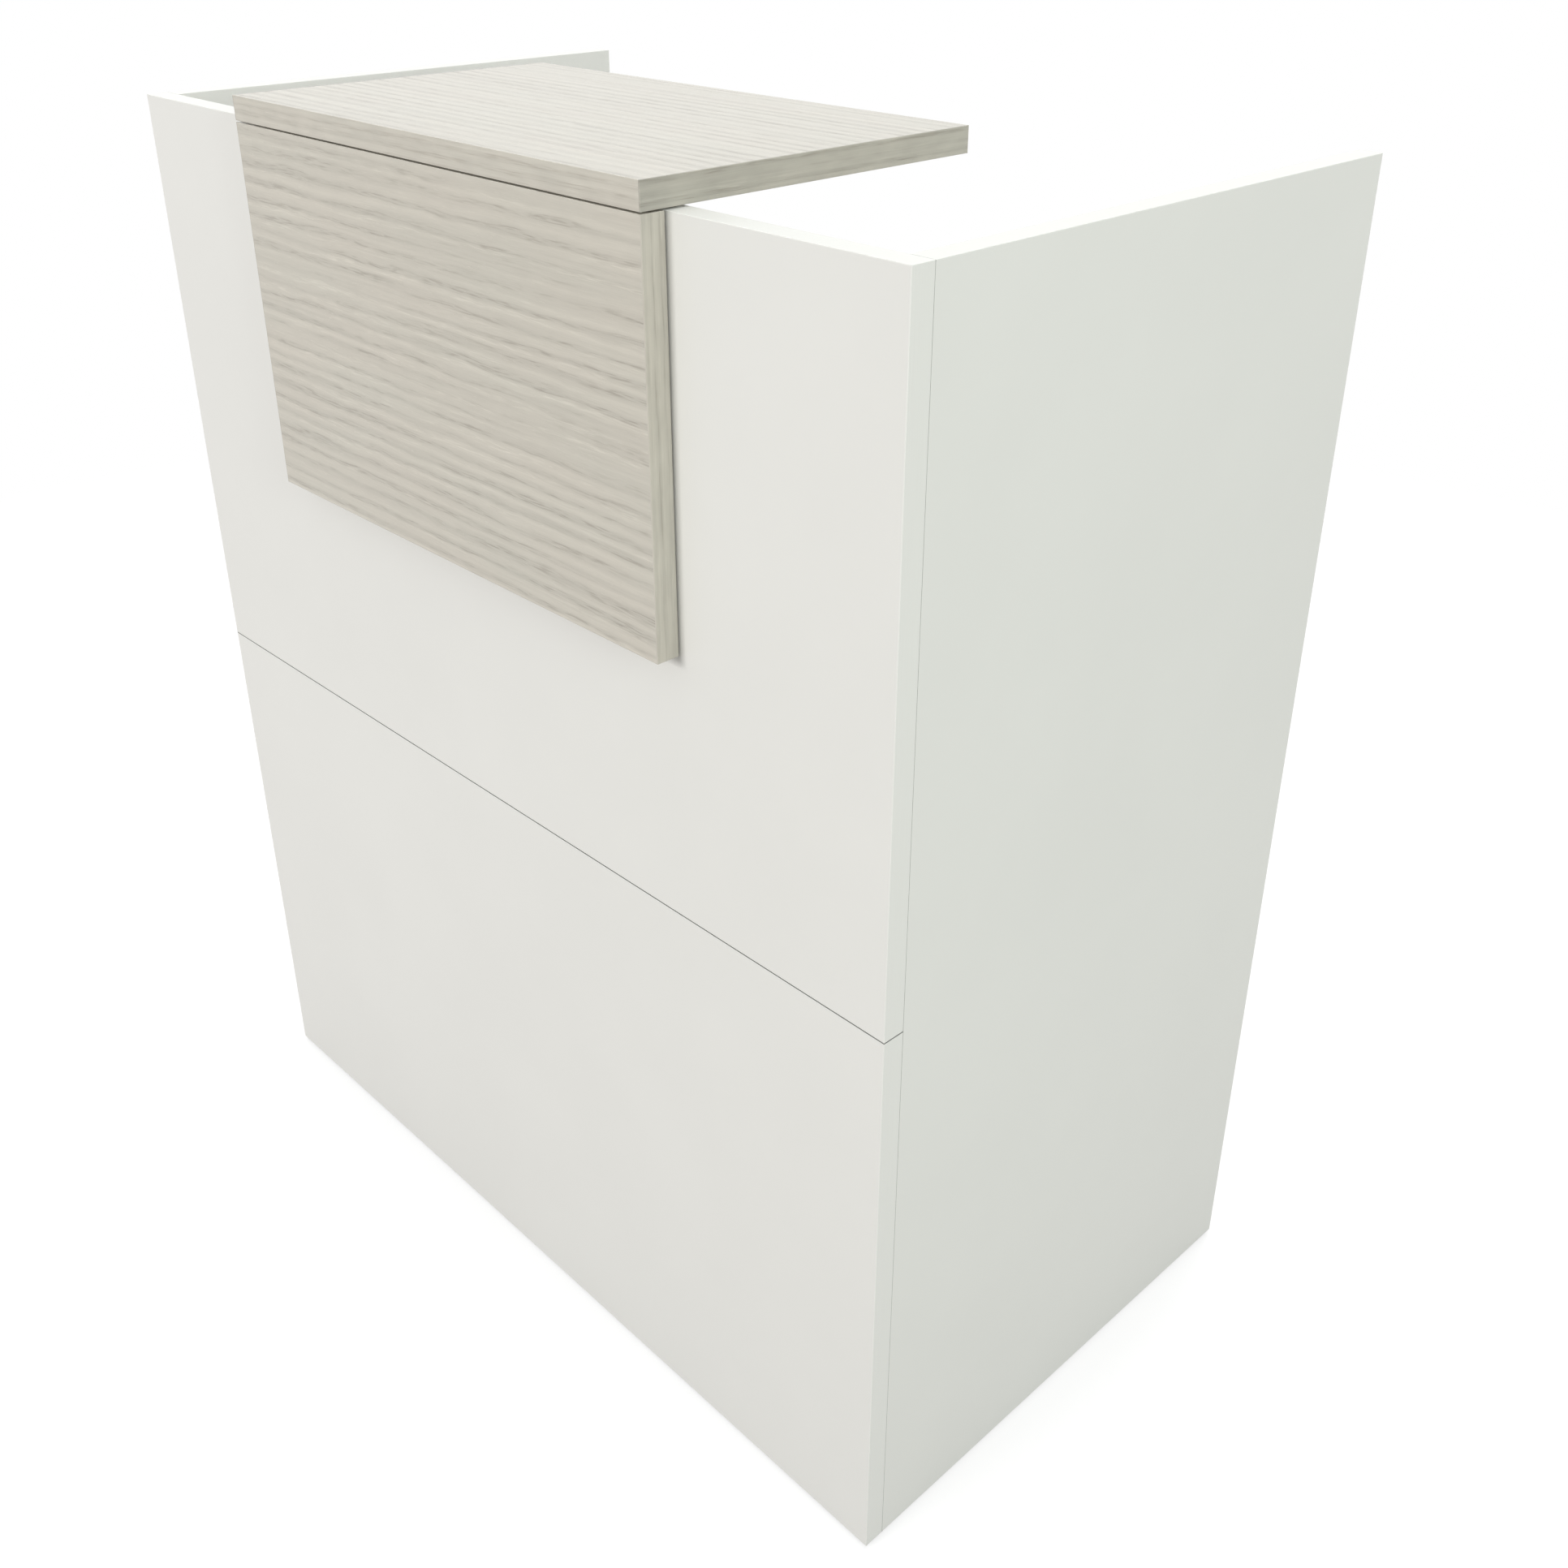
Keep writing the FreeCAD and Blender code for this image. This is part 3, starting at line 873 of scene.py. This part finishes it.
class ShapeTree(NodeSheet):
    """A Geometry Nodes tree with named inputs, which ends in realized, finished geometry."""

    def __init__(self, name: str, inputs: dict[str, str]) -> None:
        """Start a tree.

        Args:
            name: the tree's name.
            inputs: its inputs' names and kinds, after the geometry and before the finish.
        """
        super().__init__(bpy.data.node_groups.new(name, "GeometryNodeTree"))
        face = self.tree.interface
        face.new_socket("Geometry", in_out="INPUT", socket_type="NodeSocketGeometry")
        self.keys = {}
        for label, kind in {**inputs, "Finish": "Material"}.items():
            socket = face.new_socket(label, in_out="INPUT", socket_type=f"NodeSocket{kind}")
            self.keys[label] = socket.identifier
        face.new_socket("Geometry", in_out="OUTPUT", socket_type="NodeSocketGeometry")
        self.given = self.add("NodeGroupInput").outputs

    def raised(self, shape: NodeSocket, height: Feed) -> NodeSocket:
        """A shape moved up."""
        lift = self.made("ShaderNodeCombineXYZ", {2: height})
        return self.made("GeometryNodeTransform", {"Geometry": shape, "Translation": lift})

    def joined(self, first: NodeSocket, second: NodeSocket) -> NodeSocket:
        """Join two shapes.

        Args:
            first: the first shape.
            second: the second shape.

        Returns:
            Both as one.
        """
        both = self.add("GeometryNodeJoinGeometry", {0: first})
        self.tree.links.new(second, both.inputs[0])
        return both.outputs[0]

    def close(self, geometry: NodeSocket) -> None:
        """End the tree.

        Args:
            geometry: what it has made.
        """
        whole = self.made("GeometryNodeRealizeInstances", {"Geometry": geometry})
        feeds = {"Geometry": whole, "Material": self.given["Finish"]}
        self.add("NodeGroupOutput", {0: self.made("GeometryNodeSetMaterial", feeds)})

    def run(self, start: Mesh, values: dict[str, object], name: str) -> Mesh:
        """Run the tree on a mesh.

        Args:
            start: the mesh it starts from.
            values: its inputs by name.
            name: the new mesh's name.

        Returns:
            The result as a plain mesh.
        """
        item = linked(f"{name}_start", start)
        modifier = item.modifiers.new("shape", "NODES")
        modifier.node_group = self.tree
        for label, value in values.items():
            modifier[self.keys[label]] = value
        mesh = plain_mesh(item, name)
        item.modifiers.remove(modifier)
        bpy.data.objects.remove(item)
        return mesh


class FittingTree(ShapeTree):
    """Sets a like fitting on each point, turned to stand out of its face, with a spin of its own."""

    def __init__(self) -> None:
        """Draw up the tree."""
        super().__init__("set_out_fittings", {"Fitting": "Object", "Largest spin": "Float", "Seed": "Int"})
        given = self.given
        out = self.made("GeometryNodeInputNamedAttribute", {"Name": "out"}, data_type="FLOAT_VECTOR")
        stand = self.made("FunctionNodeAlignRotationToVector", {"Vector": out}, axis="Z")
        draw = self.add("FunctionNodeRandomValue", {"Min": 0.0, "Max": given["Largest spin"],
                                                    "Seed": given["Seed"]}, data_type="FLOAT")
        spin = next(socket for socket in draw.outputs if socket.enabled)
        about = self.made("FunctionNodeAxisAngleToRotation", {"Axis": (0.0, 0.0, 1.0), "Angle": spin})
        turned = self.made("FunctionNodeRotateRotation", {0: stand, 1: about}, rotation_space="LOCAL")
        fitting = self.add("GeometryNodeObjectInfo", {"Object": given["Fitting"], "As Instance": True})
        self.close(self.made("GeometryNodeInstanceOnPoints",
                             {"Points": given["Geometry"], "Rotation": turned,
                              "Instance": fitting.outputs["Geometry"]}))

    def set_out(self, name: str, seats: Sequence[Seat], fitting: Mesh, finish: Material, spin: float = 0.0,
                seed: int = 0) -> Object:
        """Set fittings out on their seats.

        Args:
            name: the new piece's name.
            seats: where they stand.
            fitting: one fitting, with its crown at the origin and Z out.
            finish: their material.
            spin: the largest turn about their own axis, in radians.
            seed: what the turns are drawn from.

        Returns:
            One piece with all of them.
        """
        start = bpy.data.meshes.new(f"{name}_seats")
        start.from_pydata([seat.crown for seat in seats], [], [])
        out = start.attributes.new("out", "FLOAT_VECTOR", "POINT")
        out.data.foreach_set("vector", [x for seat in seats for x in seat.out])
        sample = linked(f"{name}_sample", fitting)
        values = {"Fitting": sample, "Largest spin": spin, "Seed": seed, "Finish": finish}
        mesh = self.run(start, values, name)
        bpy.data.objects.remove(sample)
        return linked(name, mesh)


class ThreadTree(ShapeTree):
    """A threaded shank: a helical ridge wound on a round core, upright from the origin."""

    steps_in_turn = 20
    ridge_sides = 4
    core_sides = 24

    def __init__(self) -> None:
        """Draw up the tree."""
        super().__init__("wind_thread", {"Pitch": "Float", "Outer radius": "Float", "Ridge": "Float",
                                         "Length": "Float"})
        given = self.given
        height = self.math("SUBTRACT", given["Length"], self.math("MULTIPLY", given["Ridge"], 2.0))
        turns = self.math("DIVIDE", height, given["Pitch"])
        radius = self.math("SUBTRACT", given["Outer radius"], given["Ridge"])
        helix = self.made("GeometryNodeCurveSpiral",
                          {"Resolution": self.steps_in_turn, "Rotations": turns, "Start Radius": radius,
                           "End Radius": radius, "Height": height, "Reverse": True})
        upright = self.made("GeometryNodeSetCurveNormal", {"Curve": helix}, mode="Z_UP")
        section = self.made("GeometryNodeCurvePrimitiveCircle",
                            {"Resolution": self.ridge_sides, "Radius": given["Ridge"]})
        ridge = self.made("GeometryNodeCurveToMesh",
                          {"Curve": upright, "Profile Curve": section, "Fill Caps": True})
        core = self.made("GeometryNodeMeshCylinder",
                         {"Vertices": self.core_sides, "Radius": radius, "Depth": given["Length"]})
        half = self.math("DIVIDE", given["Length"], 2.0)
        self.close(self.joined(self.raised(ridge, given["Ridge"]), self.raised(core, half)))


class RibTree(ShapeTree):
    """Sets like ribs in a ring round the Z axis."""

    def __init__(self) -> None:
        """Draw up the tree."""
        super().__init__("ring_of_ribs", {"Count": "Int", "Ring radius": "Float", "Rib": "Object"})
        given = self.given
        ring = self.made("GeometryNodeMeshCircle", {"Vertices": given["Count"],
                                                    "Radius": given["Ring radius"]})
        place = self.made("GeometryNodeInputPosition")
        stand = self.made("FunctionNodeAlignRotationToVector", {"Vector": place}, axis="X")
        rib = self.add("GeometryNodeObjectInfo", {"Object": given["Rib"], "As Instance": True})
        ribs = self.made("GeometryNodeInstanceOnPoints",
                         {"Points": ring, "Rotation": stand, "Instance": rib.outputs["Geometry"]})
        self.close(self.joined(given["Geometry"], ribs))


@dataclass
class ScrewSet:
    """The wood screws: pan heads with a cross recess, each driven to an angle of its own. Millimetres."""

    nodes: tuple[str, ...] = ("rail_screws", "accent_screws", "shelf_bracket_screws", "foot_bracket_screws")
    head_radius: float = 4.0
    head_height: float = 2.4
    head_wall_share: float = 0.35
    head_foot_share: float = 0.96
    head_ease_share: float = 0.12
    dome_steps: int = 6
    shank_radius: float = 2.0
    point: float = 3.0
    recess_width: float = 1.0
    recess_reach: float = 2.1
    recess_depth: float = 1.5
    recess_foot_share: float = 0.55
    sides: int = 28

    def build(self, tree: FittingTree) -> None:
        """Make the screws of each node and let them stand for it.

        Args:
            tree: what sets them out.
        """
        finish = ZINC_PLATE.material()
        for seed, node in enumerate(self.nodes):
            seats = seats_of(node, Long.LONGEST)
            screw = self.screw(seats[0].length / MM)
            piece = tree.set_out(f"{node}_driven", seats, screw, finish, math.pi / 2, seed)
            stand_in(piece, node, "carcass")

    def screw(self, length: float) -> Mesh:
        """One screw with its crown at the origin.

        Args:
            length: its length over all.

        Returns:
            The mesh.
        """
        under, wall = -self.head_height, self.head_height * (self.head_wall_share - 1)
        dome = [(self.head_radius * math.cos(turn), wall * (1 - math.sin(turn)))
                for turn in quarter_turn(self.dome_steps)[:-1]]
        profile = [(0.0, -length), (self.shank_radius, self.point - length), (self.shank_radius, under),
                   (self.head_radius * self.head_foot_share, under),
                   (self.head_radius, under + self.head_height * self.head_ease_share), *dome, (0.0, 0.0)]
        cross = bmesh.new()
        arms = (self.recess_reach, self.recess_width / 2)
        for half in (arms, arms[::-1]):
            bar_into(cross, half, -self.recess_depth, self.head_height, self.recess_foot_share)
        return carved(turned_mesh("screw", profile, self.sides), finished_mesh("cross", cross))


@dataclass
class JoineryFittings:
    """Cover caps over the cams, and the fittings inside the boards. Millimetres."""

    cap_radius: float = 8.5
    cap_height: float = 1.0
    rim_ease: float = 0.4
    rim_steps: int = 4
    dish_radius: float = 6.2
    dish_depth: float = 0.18
    spigot_radius: float = 2.45
    sides: int = 48

    def build(self, tree: FittingTree) -> None:
        """Make the caps, and dress what lies in the boards.

        Args:
            tree: what sets the caps out.
        """
        seats = seats_of("cam_caps", Long.SHORTEST)
        cap = self.cap(seats[0].length / MM)
        piece = tree.set_out("cam_caps_fitted", seats, cap, WHITE_CAP.material())
        stand_in(piece, "cam_caps", "carcass")
        dress(["cam_locks"], CAST_ZINC.material())
        dress(["cam_bolts"], ZINC_PLATE.material())
        dress(["accent_spacers"], GREY_PLASTIC.material())
        dress(["wood_dowels"], BEECH_WOOD.material(Lay(Run.DEPTH)))

    def cap(self, length: float) -> Mesh:
        """One cap with its crown at the origin.

        Args:
            length: its height with its spigot.

        Returns:
            The mesh.
        """
        edge = self.cap_radius - self.rim_ease
        rim = [(edge + self.rim_ease * math.cos(turn), self.rim_ease * (math.sin(turn) - 1))
               for turn in quarter_turn(self.rim_steps)]
        profile = [(0.0, -length), (self.spigot_radius, -length), (self.spigot_radius, -self.cap_height),
                   (self.cap_radius, -self.cap_height), *rim, (self.dish_radius + self.dish_depth, 0.0),
                   (self.dish_radius, -self.dish_depth), (0.0, -self.dish_depth)]
        return turned_mesh("cap", profile, self.sides)


@dataclass
class ShelfBrackets:
    """The coated steel brackets under the transaction shelf."""

    nodes: tuple[str, ...] = ("left_shelf_bracket", "right_shelf_bracket")

    def build(self) -> None:
        """Dress the brackets."""
        dress(self.nodes, WHITE_COAT.material())


@dataclass
class LevellingFoot:
    """One levelling foot: a plated bracket, a threaded stem with a collar, and a ribbed pad. Millimetres."""

    name: str
    thread_pitch: float = 1.25
    thread_ridge: float = 0.55
    stem_radius: float = 4.0
    stem_sides: int = 30
    tip_length: float = 3.0
    tip_ease: float = 0.5
    slot_width: float = 1.2
    slot_depth: float = 2.0
    neck_radius: float = 3.0
    neck_play: float = 0.05
    collar_flats: float = 13.0
    collar_height: float = 6.0
    collar_chamfer: float = 0.7
    chamfer_room: float = 0.05
    chamfer_sides: int = 36
    cut_overrun: float = 1.0
    pad_sides: int = 56
    pad_ease: float = 0.5
    rim_share: float = 0.30
    boss_share: float = 0.44
    boss_flare: float = 2.0
    flare_low: float = 1.0
    flare_high: float = 3.0
    bore_floor_share: float = 0.4
    rib_count: int = 12
    rib_width: float = 1.2
    rib_inset: float = 1.6
    rib_root: float = 0.5
    rib_rise: float = 0.5
    rib_foot_share: float = 0.6

    def build(self, threads: ThreadTree, ribs: RibTree, steel: Material, nylon: Material) -> None:
        """Make the stem and the pad, and dress the bracket.

        Args:
            threads: what winds the thread.
            ribs: what sets out the ribs.
            steel: the finish of the bracket and the stem.
            nylon: the finish of the pad.
        """
        dress([f"{self.name}_foot_bracket"], steel)
        low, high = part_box(f"{self.name}_foot_stem")
        foot = Vector(((low.x + high.x) / 2, (low.y + high.y) / 2, low.z))
        pad_low, pad_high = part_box(f"{self.name}_foot_pad")
        stem = self.stem(threads, steel, (high.z - low.z) / MM, (pad_high.z - low.z) / MM)
        self.show("stem", stem, foot, steel)
        size = pad_high - pad_low
        pad = self.pad(ribs, nylon, size.x / 2 / MM, size.z / MM)
        self.show("pad", pad, Vector((foot.x, foot.y, pad_low.z)), nylon)

    def show(self, part: str, mesh: Mesh, place: Vector, finish: Material) -> None:
        """Put a part of the foot in its place and let it stand for its node.

        Args:
            part: stem or pad.
            mesh: its mesh, upright from the origin.
            place: where its foot goes.
            finish: its material.
        """
        for vertex in mesh.vertices:
            vertex.co += place
        mesh.materials.clear()
        mesh.materials.append(finish)
        piece = linked(f"{self.name}_{part}_shape", mesh)
        stand_in(piece, f"{self.name}_foot_{part}", f"{self.name}_{part}")

    def stem(self, threads: ThreadTree, steel: Material, length: float, seat: float) -> Mesh:
        """The stem, with its neck's foot at the origin.

        Args:
            threads: what winds the thread.
            steel: its finish.
            length: its length over all.
            seat: how far its neck reaches into the pad.

        Returns:
            The mesh.
        """
        collar_top = seat + self.collar_height
        tip_low = length - self.tip_length
        sizes = {"Pitch": self.thread_pitch, "Outer radius": self.stem_radius, "Ridge": self.thread_ridge,
                 "Length": tip_low - collar_top}
        values = {label: size * MM for label, size in sizes.items()}
        wound = threads.run(bpy.data.meshes.new("thread_start"), {**values, "Finish": steel}, "thread")
        neck_profile = [(0.0, 0.0), (self.neck_radius, 0.0), (self.neck_radius, seat), (0.0, seat)]
        neck = turned_mesh("neck", neck_profile, self.stem_sides)
        parts = ((wound, collar_top), (self.tip(tip_low, length), 0.0), (neck, 0.0), (self.collar(), seat))
        work = bmesh.new()
        for mesh, rise in parts:
            first = len(work.verts)
            work.from_mesh(mesh)
            work.verts.ensure_lookup_table()
            for vertex in work.verts[first:]:
                vertex.co.z += rise * MM
        stem = bpy.data.meshes.new("stem")
        work.to_mesh(stem)
        work.free()
        return stem

    def tip(self, low: float, high: float) -> Mesh:
        """The stem's plain tip, with its slot for a screwdriver.

        Args:
            low: the height of its foot.
            high: the height of its top.

        Returns:
            The mesh.
        """
        core = self.stem_radius - self.thread_ridge
        slot = bmesh.new()
        bar_into(slot, (2 * core, self.slot_width / 2), high - self.slot_depth, high + self.slot_depth)
        profile = [(0.0, low), (core, low), (core, high - self.tip_ease), (core - self.tip_ease, high),
                   (0.0, high)]
        return carved(turned_mesh("tip", profile, self.stem_sides), finished_mesh("slot", slot))

    def collar(self) -> Mesh:
        """The hexagonal collar, chamfered at its corners.

        Returns:
            The mesh, upright from the origin.
        """
        flat, top = self.collar_flats / 2, self.collar_height
        corner = flat / math.cos(math.pi / 6)
        clear = corner + self.chamfer_room
        hexagon = turned_mesh("collar", [(0.0, 0.0), (corner, 0.0), (corner, top), (0.0, top)], 6)
        low, high = -self.cut_overrun, top + self.cut_overrun
        profile = [(2 * corner, low), (flat, low), (flat, 0.0), (clear, self.collar_chamfer),
                   (clear, top - self.collar_chamfer), (flat, top), (flat, high), (2 * corner, high)]
        return carved(hexagon, turned_mesh("chamfer", profile, self.chamfer_sides, closed=True))

    def pad(self, ribs: RibTree, nylon: Material, radius: float, height: float) -> Mesh:
        """The pad, with its foot at the origin.

        Args:
            ribs: what sets out its ribs.
            nylon: its finish.
            radius: its radius.
            height: its height.

        Returns:
            The mesh.
        """
        ease, rim, boss = self.pad_ease, height * self.rim_share, radius * self.boss_share
        bore, bore_floor = self.neck_radius + self.neck_play, height * self.bore_floor_share
        profile = [(0.0, 0.0), (radius - ease, 0.0), (radius, ease), (radius, rim - ease),
                   (radius - ease, rim), (boss + self.boss_flare, rim + self.flare_low),
                   (boss, rim + self.flare_high), (boss, height - ease), (boss - ease, height),
                   (bore, height), (bore, bore_floor), (0.0, bore_floor)]
        inner, outer = boss - self.rib_root, radius - self.rib_inset
        sample = linked(f"{self.name}_rib", self.rib(inner, outer, rim, height - 2 * ease))
        values = {"Count": self.rib_count, "Ring radius": (inner + outer) / 2 * MM, "Rib": sample,
                  "Finish": nylon}
        mesh = ribs.run(turned_mesh("pad", profile, self.pad_sides), values, "ribbed_pad")
        bpy.data.objects.remove(sample)
        return mesh

    def rib(self, inner: float, outer: float, rim: float, top: float) -> Mesh:
        """One rib of the pad, with its middle on the Z axis.

        Args:
            inner: how far from the pad's axis it starts.
            outer: how far from it the rib ends.
            rim: the height of the pad's rim.
            top: the rib's height at its inner end.

        Returns:
            The mesh.
        """
        middle, foot = (inner + outer) / 2, rim * self.rib_foot_share
        outline = ((inner, foot), (outer, foot), (outer, rim + self.rib_rise), (inner, top))
        faces = around(0.0, self.rib_width / 2)
        work = bmesh.new()
        prism_into(work, *([(x - middle, face, z) for x, z in outline] for face in faces))
        return finished_mesh("rib", work)


@dataclass(frozen=True)
class Softbox:
    """A large soft light: where it hangs, the point that it faces, its power in watts, and its tint."""

    name: str
    place: Triple
    aim: Triple
    power: float
    tint: Triple = (1.0, 1.0, 1.0)


@dataclass
class Studio:
    """Camera, floor and light. Metres and degrees."""

    camera_place: Triple = (1.0343, -0.8977, 1.2442)
    camera_tilt: float = 62.50
    camera_turn: float = 46.06
    focal_length: float = 37.945
    sensor: float = 36.0
    frame_shift: tuple[float, float] = (0.0008, -0.0567)
    floor_half: float = 30.0
    floor_white_share: float = 0.70
    floor_fade: Range = (1.0, 2.5)
    floor_tone: Colour = evened(0.205, 0.185, 0.180)
    floor_shown: Colour = evened(0.97, 0.97, 0.97)
    ambient: Colour = evened(0.62, 0.63, 0.62)
    top_from: Triple = (0.0, 0.05, 1.0)
    top_strength: float = 0.77
    top_spread: float = 25.0
    softbox_size: float = 1.3
    softboxes: tuple[Softbox, ...] = (
        Softbox("front_softbox", (-0.50, -4.40, 2.20), (0.0, -0.25, 0.60), 101.0, (1.0, 0.985, 0.975)),
        Softbox("back_softbox", (-0.50, 3.40, 1.90), (0.0, 0.10, 0.60), 55.0),
        Softbox("right_softbox", (3.00, -0.60, 1.80), (0.45, 0.0, 0.60), 39.0, (0.93, 1.0, 0.945)),
        Softbox("left_softbox", (-3.00, 0.50, 1.80), (-0.45, 0.0, 0.60), 30.0),
    )

    def build(self) -> None:
        """Set up everything round the counter."""
        scene = bpy.context.scene
        scene.view_settings.view_transform = "Standard"
        self.set_camera(scene)
        self.set_world(scene)
        self.lay_floor()
        self.hang_lights()

    def set_camera(self, scene: bpy.types.Scene) -> None:
        """Stand the camera where the photograph was taken from.

        Args:
            scene: the scene.
        """
        lens = bpy.data.cameras.new("camera")
        lens.sensor_fit = "HORIZONTAL"
        lens.sensor_width = self.sensor
        lens.lens = self.focal_length
        lens.shift_x, lens.shift_y = self.frame_shift
        camera = bpy.data.objects.new("camera", lens)
        camera.location = self.camera_place
        camera.rotation_euler = (math.radians(self.camera_tilt), 0.0, math.radians(self.camera_turn))
        scene.collection.objects.link(camera)
        scene.camera = camera

    def seen(self, sheet: NodeSheet) -> NodeSocket:
        """Whether a ray comes from the camera, or by way of metal or glass.

        Args:
            sheet: the node sheet that asks.

        Returns:
            1 for such a ray, and else 0.
        """
        path = sheet.add("ShaderNodeLightPath").outputs
        mirrored = sheet.math("MAXIMUM", path["Is Glossy Ray"], path["Is Transmission Ray"])
        return sheet.math("MAXIMUM", path["Is Camera Ray"], mirrored)

    def set_world(self, scene: bpy.types.Scene) -> None:
        """An even sky, which shows as plain white.

        Args:
            scene: the scene.
        """
        world = bpy.data.worlds.new("sky")
        world.use_nodes = True
        sheet = NodeSheet(world.node_tree)
        light = sheet.made("ShaderNodeBackground", {"Color": self.ambient, "Strength": 1.0})
        white = sheet.made("ShaderNodeBackground", {"Color": SHOWN_WHITE, "Strength": 1.0})
        mixed = sheet.made("ShaderNodeMixShader", {0: self.seen(sheet), 1: light, 2: white})
        sheet.add("ShaderNodeOutputWorld", {"Surface": mixed})
        scene.world = world

    def lay_floor(self) -> None:
        """A pale floor that shows white and keeps a soft shadow."""
        work = bmesh.new()
        bmesh.ops.create_grid(work, x_segments=1, y_segments=1, size=self.floor_half)
        mesh = bpy.data.meshes.new("floor")
        work.to_mesh(mesh)
        work.free()
        material = bpy.data.materials.new("floor")
        material.use_nodes = True
        sheet = NodeSheet(material.node_tree)
        paint = sheet.made("ShaderNodeBsdfDiffuse", {"Color": self.floor_tone})
        bright = sheet.made("ShaderNodeBsdfDiffuse", {"Color": self.floor_shown})
        glow = sheet.made("ShaderNodeEmission", {"Color": SHOWN_WHITE, "Strength": 1.0})
        point = sheet.add("ShaderNodeTexCoord").outputs["Object"]
        away = sheet.add("ShaderNodeVectorMath", {0: point}, operation="LENGTH").outputs["Value"]
        share = sheet.span(away, self.floor_fade, (self.floor_white_share, 1.0))
        shown = sheet.made("ShaderNodeMixShader", {0: share, 1: bright, 2: glow})
        mixed = sheet.made("ShaderNodeMixShader", {0: self.seen(sheet), 1: paint, 2: shown})
        sheet.add("ShaderNodeOutputMaterial", {"Surface": mixed})
        mesh.materials.append(material)
        linked("floor", mesh)

    def hang_lights(self) -> None:
        """A distant soft light above, and softboxes round the counter."""
        sun = bpy.data.lights.new("top_light", "SUN")
        sun.energy = self.top_strength
        sun.angle = math.radians(self.top_spread)
        self.hang(sun, self.top_from)
        for box in self.softboxes:
            light = bpy.data.lights.new(box.name, "AREA")
            light.energy = box.power
            light.shape = "SQUARE"
            light.size = self.softbox_size
            light.color = box.tint
            self.hang(light, box.place, box.aim)

    def hang(self, light: bpy.types.Light, place: Triple, aim: Triple = (0.0, 0.0, 0.0)) -> None:
        """Hang a light, unseen itself.

        Args:
            light: the light.
            place: where it hangs.
            aim: the point that it faces.
        """
        lamp = bpy.data.objects.new(light.name, light)
        lamp.location = place
        lamp.rotation_euler = (Vector(place) - Vector(aim)).to_track_quat("Z", "Y").to_euler()
        lamp.visible_camera = False
        lamp.visible_glossy = False
        bpy.context.scene.collection.objects.link(lamp)


def write_sizes() -> None:
    """Update the view layer, so that the scene's state is current."""
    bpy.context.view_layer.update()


def main() -> None:
    """Build the counter's looks, piece by piece, and the studio round it."""
    logging.basicConfig(level=logging.INFO, format="%(message)s")
    WhiteCarcass().build()
    OakBoards().build()
    fittings = FittingTree()
    JoineryFittings().build(fittings)
    ScrewSet().build(fittings)
    ShelfBrackets().build()
    threads, ribs = ThreadTree(), RibTree()
    steel, nylon = ZINC_PLATE.material(), BLACK_NYLON.material()
    for name in ("front_left", "front_right", "back_left", "back_right"):
        LevellingFoot(name).build(threads, ribs, steel, nylon)
    Studio().build()
    write_sizes()


if __name__ == "__main__":
    main()
